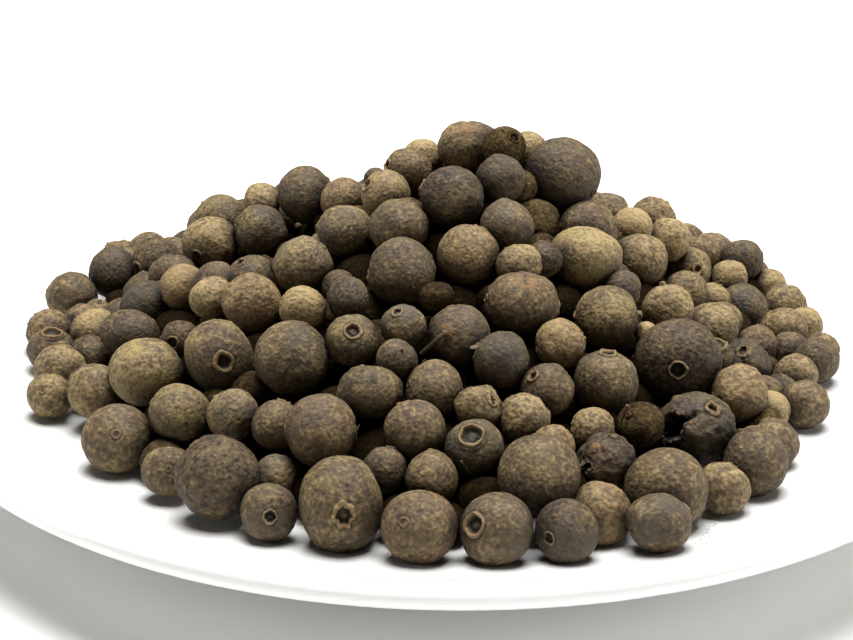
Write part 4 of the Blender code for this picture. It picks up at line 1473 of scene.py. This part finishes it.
class ALLSPICE_OT_broken_bits(bpy.types.Operator):
    """Lay the stalk bits, flakes, crumbs and dust where they show"""

    bl_idname = "allspice.broken_bits"
    bl_label = "Lay the broken bits"

    def execute(self, context):
        settings = context.scene.allspice_berries
        self.draw_bits = np.random.default_rng(settings.seed + 1)
        self.camera = camera_frame()
        husk = torn_husk(settings)
        stalks = [self.stalk(*bit) for bit in STALK_BITS]
        flakes = [self.flake(*bit) for bit in SKIN_FLAKES]
        for name, items in (("stalk_bits", stalks), ("skin_flakes", flakes)):
            deselect_all()
            for item in items:
                item.select_set(True)
            context.view_layer.objects.active = items[0]
            bpy.ops.object.join()
            context.object.name = name
            finish_piece(context.object, husk)
        crumbs = [self.crumb(*bit) for bit in CRUMBS]
        dust = [self.grain() for _ in range(DUST_COUNT)]
        for name, copies in (("crumbs", crumbs), ("husk_dust", dust)):
            finish_piece(join_copies(name, copies), husk)
        return {"FINISHED"}

    def on_heap(self, pixel):
        """Where a pixel shows on the heap."""
        return point_on_heap(self.camera, pixel, LAID["middles"], LAID["radii"])

    def stalk(self, start, end, thickness_mm):
        """A broken stalk: a thin tapered stick with a knob."""
        thick = thickness_mm * MM
        towards_start, towards_end = [unit(sight_through(self.camera, *p)) for p in (start, end)]
        first = self.on_heap(start)[0] - towards_start * thick
        away = np.linalg.norm(first - self.camera[0])
        first, last = Vector(first), Vector(self.camera[0] + away * towards_end)
        length = (last - first).length
        deselect_all()
        bpy.ops.mesh.primitive_cylinder_add(vertices=STALK_SIDES, radius=thick / 2, depth=length)
        stick = bpy.context.object
        pick_faces(stick, lambda middle: middle.z > length * STALK_END)
        bpy.ops.mesh.inset(thickness=thick * KNOB_INSET, depth=thick * KNOB_FOOT)
        bpy.ops.transform.resize(value=(KNOB_WIDTH, KNOB_WIDTH, 1))
        bpy.ops.mesh.extrude_region_move(
            TRANSFORM_OT_translate={"value": (0, 0, thick * KNOB_HEIGHT)},
        )
        bpy.ops.transform.resize(value=(KNOB_TOP, KNOB_TOP, 1))
        pick_faces(stick, lambda middle: middle.z < -length * STALK_END)
        bpy.ops.transform.resize(value=(STALK_TAPER, STALK_TAPER, 1))
        bpy.ops.object.mode_set(mode="OBJECT")
        turn = (first - last).to_track_quat("Z", "X").to_matrix().to_4x4()
        stick.data.transform(Matrix.Translation((first + last) / 2) @ turn)
        stick.data.shade_smooth()
        return stick

    def flake(self, column, row, length_mm, width, degrees):
        """A curled flake of husk that leans on the berries."""
        length = length_mm * MM
        point, outward = self.on_heap((column, row))
        deselect_all()
        bpy.ops.mesh.primitive_grid_add(
            x_subdivisions=FLAKE_FACES[0], y_subdivisions=FLAKE_FACES[1], size=1,
        )
        flake = bpy.context.object
        bend = self.draw_bits.uniform(*FLAKE_BEND)
        jitter = self.draw_bits.normal(0, FLAKE_JITTER, (len(flake.data.vertices), 3))

        def curl(points):
            curled = points.copy()
            curled[:, 1] *= width * (1 - FLAKE_TIPS * np.abs(2 * curled[:, 0])**1.5)
            curled += jitter
            curled[:, 2] += bend * (curled[:, 0]**2 * 2 + curled[:, 1])
            return curled * length

        move_corners(flake, curl)
        apply_modifier(flake, "SOLIDIFY", thickness=FLAKE_THICKNESS)
        right, up = self.camera[1:3]
        slant = math.radians(degrees)
        along = math.cos(slant) * right + math.sin(slant) * up
        face = unit(outward - (outward @ along) * along)
        turn = Matrix(np.stack([along, np.cross(face, along), face], axis=1)).to_4x4()
        place = Matrix.Translation(Vector(point + FLAKE_LIFT * length * face))
        flake.data.transform(place @ turn)
        flake.data.shade_smooth()
        return flake

    def crumb(self, column, row, size_mm):
        """A lump of husk lying on a berry."""
        size = size_mm * MM
        point, outward = self.on_heap((column, row))
        turn = turn_towards(self.draw_bits.normal(0, 1, 3), 0.0) @ np.diag(CRUMB_SHAPE)
        return SHAPES_MADE["crumb"], turn, point + outward * size / 3, size / 2, {}

    def grain(self):
        """One grain of the dust on the dish."""
        (left, top), (right, bottom) = DUST_PATCH
        shares = self.draw_bits.normal(0.5, 0.2, 2).clip(0, 1)
        pixel = left + shares[0] * (right - left), bottom + shares[1] * (top - bottom)
        size = self.draw_bits.uniform(*DUST_SIZE) * MM
        point = point_on_dish(self.camera, pixel) + (0, 0, size / 3)
        turn = turn_towards(self.draw_bits.normal(0, 1, 3), 0.0) @ np.diag(GRAIN_SHAPE)
        return SHAPES_MADE["crumb"], turn, point, size / 2, {}


class ALLSPICE_OT_glaze_dish(bpy.types.Operator):
    """Turn the dish from the solid's own section, finely enough for a glaze to mirror in it"""

    bl_idname = "allspice.glaze_dish"
    bl_label = "Turn and glaze the dish"

    def execute(self, context):
        deselect_all()
        outline = bpy.data.meshes.new("porcelain_dish")
        points = dish_profile()
        sides = [(place, place + 1) for place in range(len(points) - 1)]
        outline.from_pydata([(x, 0.0, z) for x, z in points], sides, [])
        dish = bpy.data.objects.new("porcelain_dish", outline)
        context.scene.collection.objects.link(dish)
        context.view_layer.objects.active = dish
        dish.select_set(True)
        bpy.ops.object.mode_set(mode="EDIT")
        bpy.ops.mesh.select_all(action="SELECT")
        bpy.ops.mesh.spin(
            steps=DISH_SEGMENTS, angle=2 * math.pi, center=(0, 0, 0), axis=(0, 0, 1),
        )
        bpy.ops.mesh.select_all(action="SELECT")
        bpy.ops.mesh.remove_doubles(threshold=0.01 * MM)
        bpy.ops.mesh.normals_make_consistent(inside=False)
        bpy.ops.object.mode_set(mode="OBJECT")
        bpy.ops.object.shade_smooth_by_angle(angle=DISH_CREASE)
        finish_piece(dish, porcelain_glaze(context.scene.allspice_dish), "dish")
        return {"FINISHED"}


class ALLSPICE_OT_set_stage(bpy.types.Operator):
    """Set the table top, the soft lights and the camera"""

    bl_idname = "allspice.set_stage"
    bl_label = "Set the stage"

    def execute(self, context):
        settings = context.scene.allspice_stage
        deselect_all()
        bpy.ops.mesh.primitive_plane_add(size=FLOOR_SIZE)
        floor = context.object
        floor.name = "table_top"
        floor.data.materials.append(matt_table(settings))
        for name, place, size, power, share in LIGHTS:
            bpy.ops.object.light_add(type="AREA", location=place)
            light = context.object
            light.name = name
            light.data.energy, light.data.size = share * getattr(settings, power), size
            light.rotation_euler = (-Vector(place)).to_track_quat("-Z", "Y").to_euler()
        world = bpy.data.worlds.new("soft_room")
        world.use_nodes = True
        set_inputs(world.node_tree.nodes["Background"], {
            "Color": (1, 1, 1, 1), "Strength": settings.surround,
        })
        context.scene.world = world
        context.scene.view_settings.view_transform = "Standard"
        self.place_camera(context)
        return {"FINISHED"}

    def place_camera(self, context):
        """Look at the heap as the photograph does."""
        place, right, up, forward = camera_frame()
        bpy.ops.object.camera_add()
        camera = context.object
        turn = Matrix(np.stack([right, up, -forward], axis=1)).to_4x4()
        camera.matrix_world = Matrix.Translation(Vector(place)) @ turn
        camera.data.sensor_width = SENSOR_WIDTH
        camera.data.lens = FOCAL_PIXELS / (2 * IMAGE_MIDDLE[0]) * SENSOR_WIDTH
        camera.data.clip_start, camera.data.clip_end = CLIP_NEAR, CLIP_FAR
        context.scene.camera = camera


class ALLSPICE_PT_panel(bpy.types.Panel):
    """Settings, and the steps in the order that they run"""

    bl_label = "Dish of allspice berries"
    bl_space_type = "VIEW_3D"
    bl_region_type = "UI"
    bl_category = "Allspice"

    def draw(self, context):
        for name, kind in SETTINGS.items():
            for setting in kind.__annotations__:
                self.layout.prop(getattr(context.scene, name), setting)
        for step in STEPS:
            self.layout.operator(step.bl_idname)


STEPS = (
    ALLSPICE_OT_model_berries, ALLSPICE_OT_heap_berries, ALLSPICE_OT_heap_inside,
    ALLSPICE_OT_broken_bits, ALLSPICE_OT_glaze_dish, ALLSPICE_OT_set_stage,
)
CLASSES = (*SETTINGS.values(), *STEPS, ALLSPICE_PT_panel)


def register():
    """Register the classes and hang the settings on the scene."""
    for item in CLASSES:
        bpy.utils.register_class(item)
    for name, kind in SETTINGS.items():
        setattr(bpy.types.Scene, name, bpy.props.PointerProperty(type=kind))


def unregister():
    """Take the settings and the classes away again."""
    for name in SETTINGS:
        delattr(bpy.types.Scene, name)
    for item in reversed(CLASSES):
        bpy.utils.unregister_class(item)


def main():
    """Run the steps in order."""
    register()
    bpy.ops.allspice.model_berries()
    bpy.ops.allspice.heap_berries()
    bpy.ops.allspice.heap_inside()
    bpy.ops.allspice.broken_bits()
    bpy.ops.allspice.glaze_dish()
    bpy.ops.allspice.set_stage()


if __name__ == "__main__":
    main()
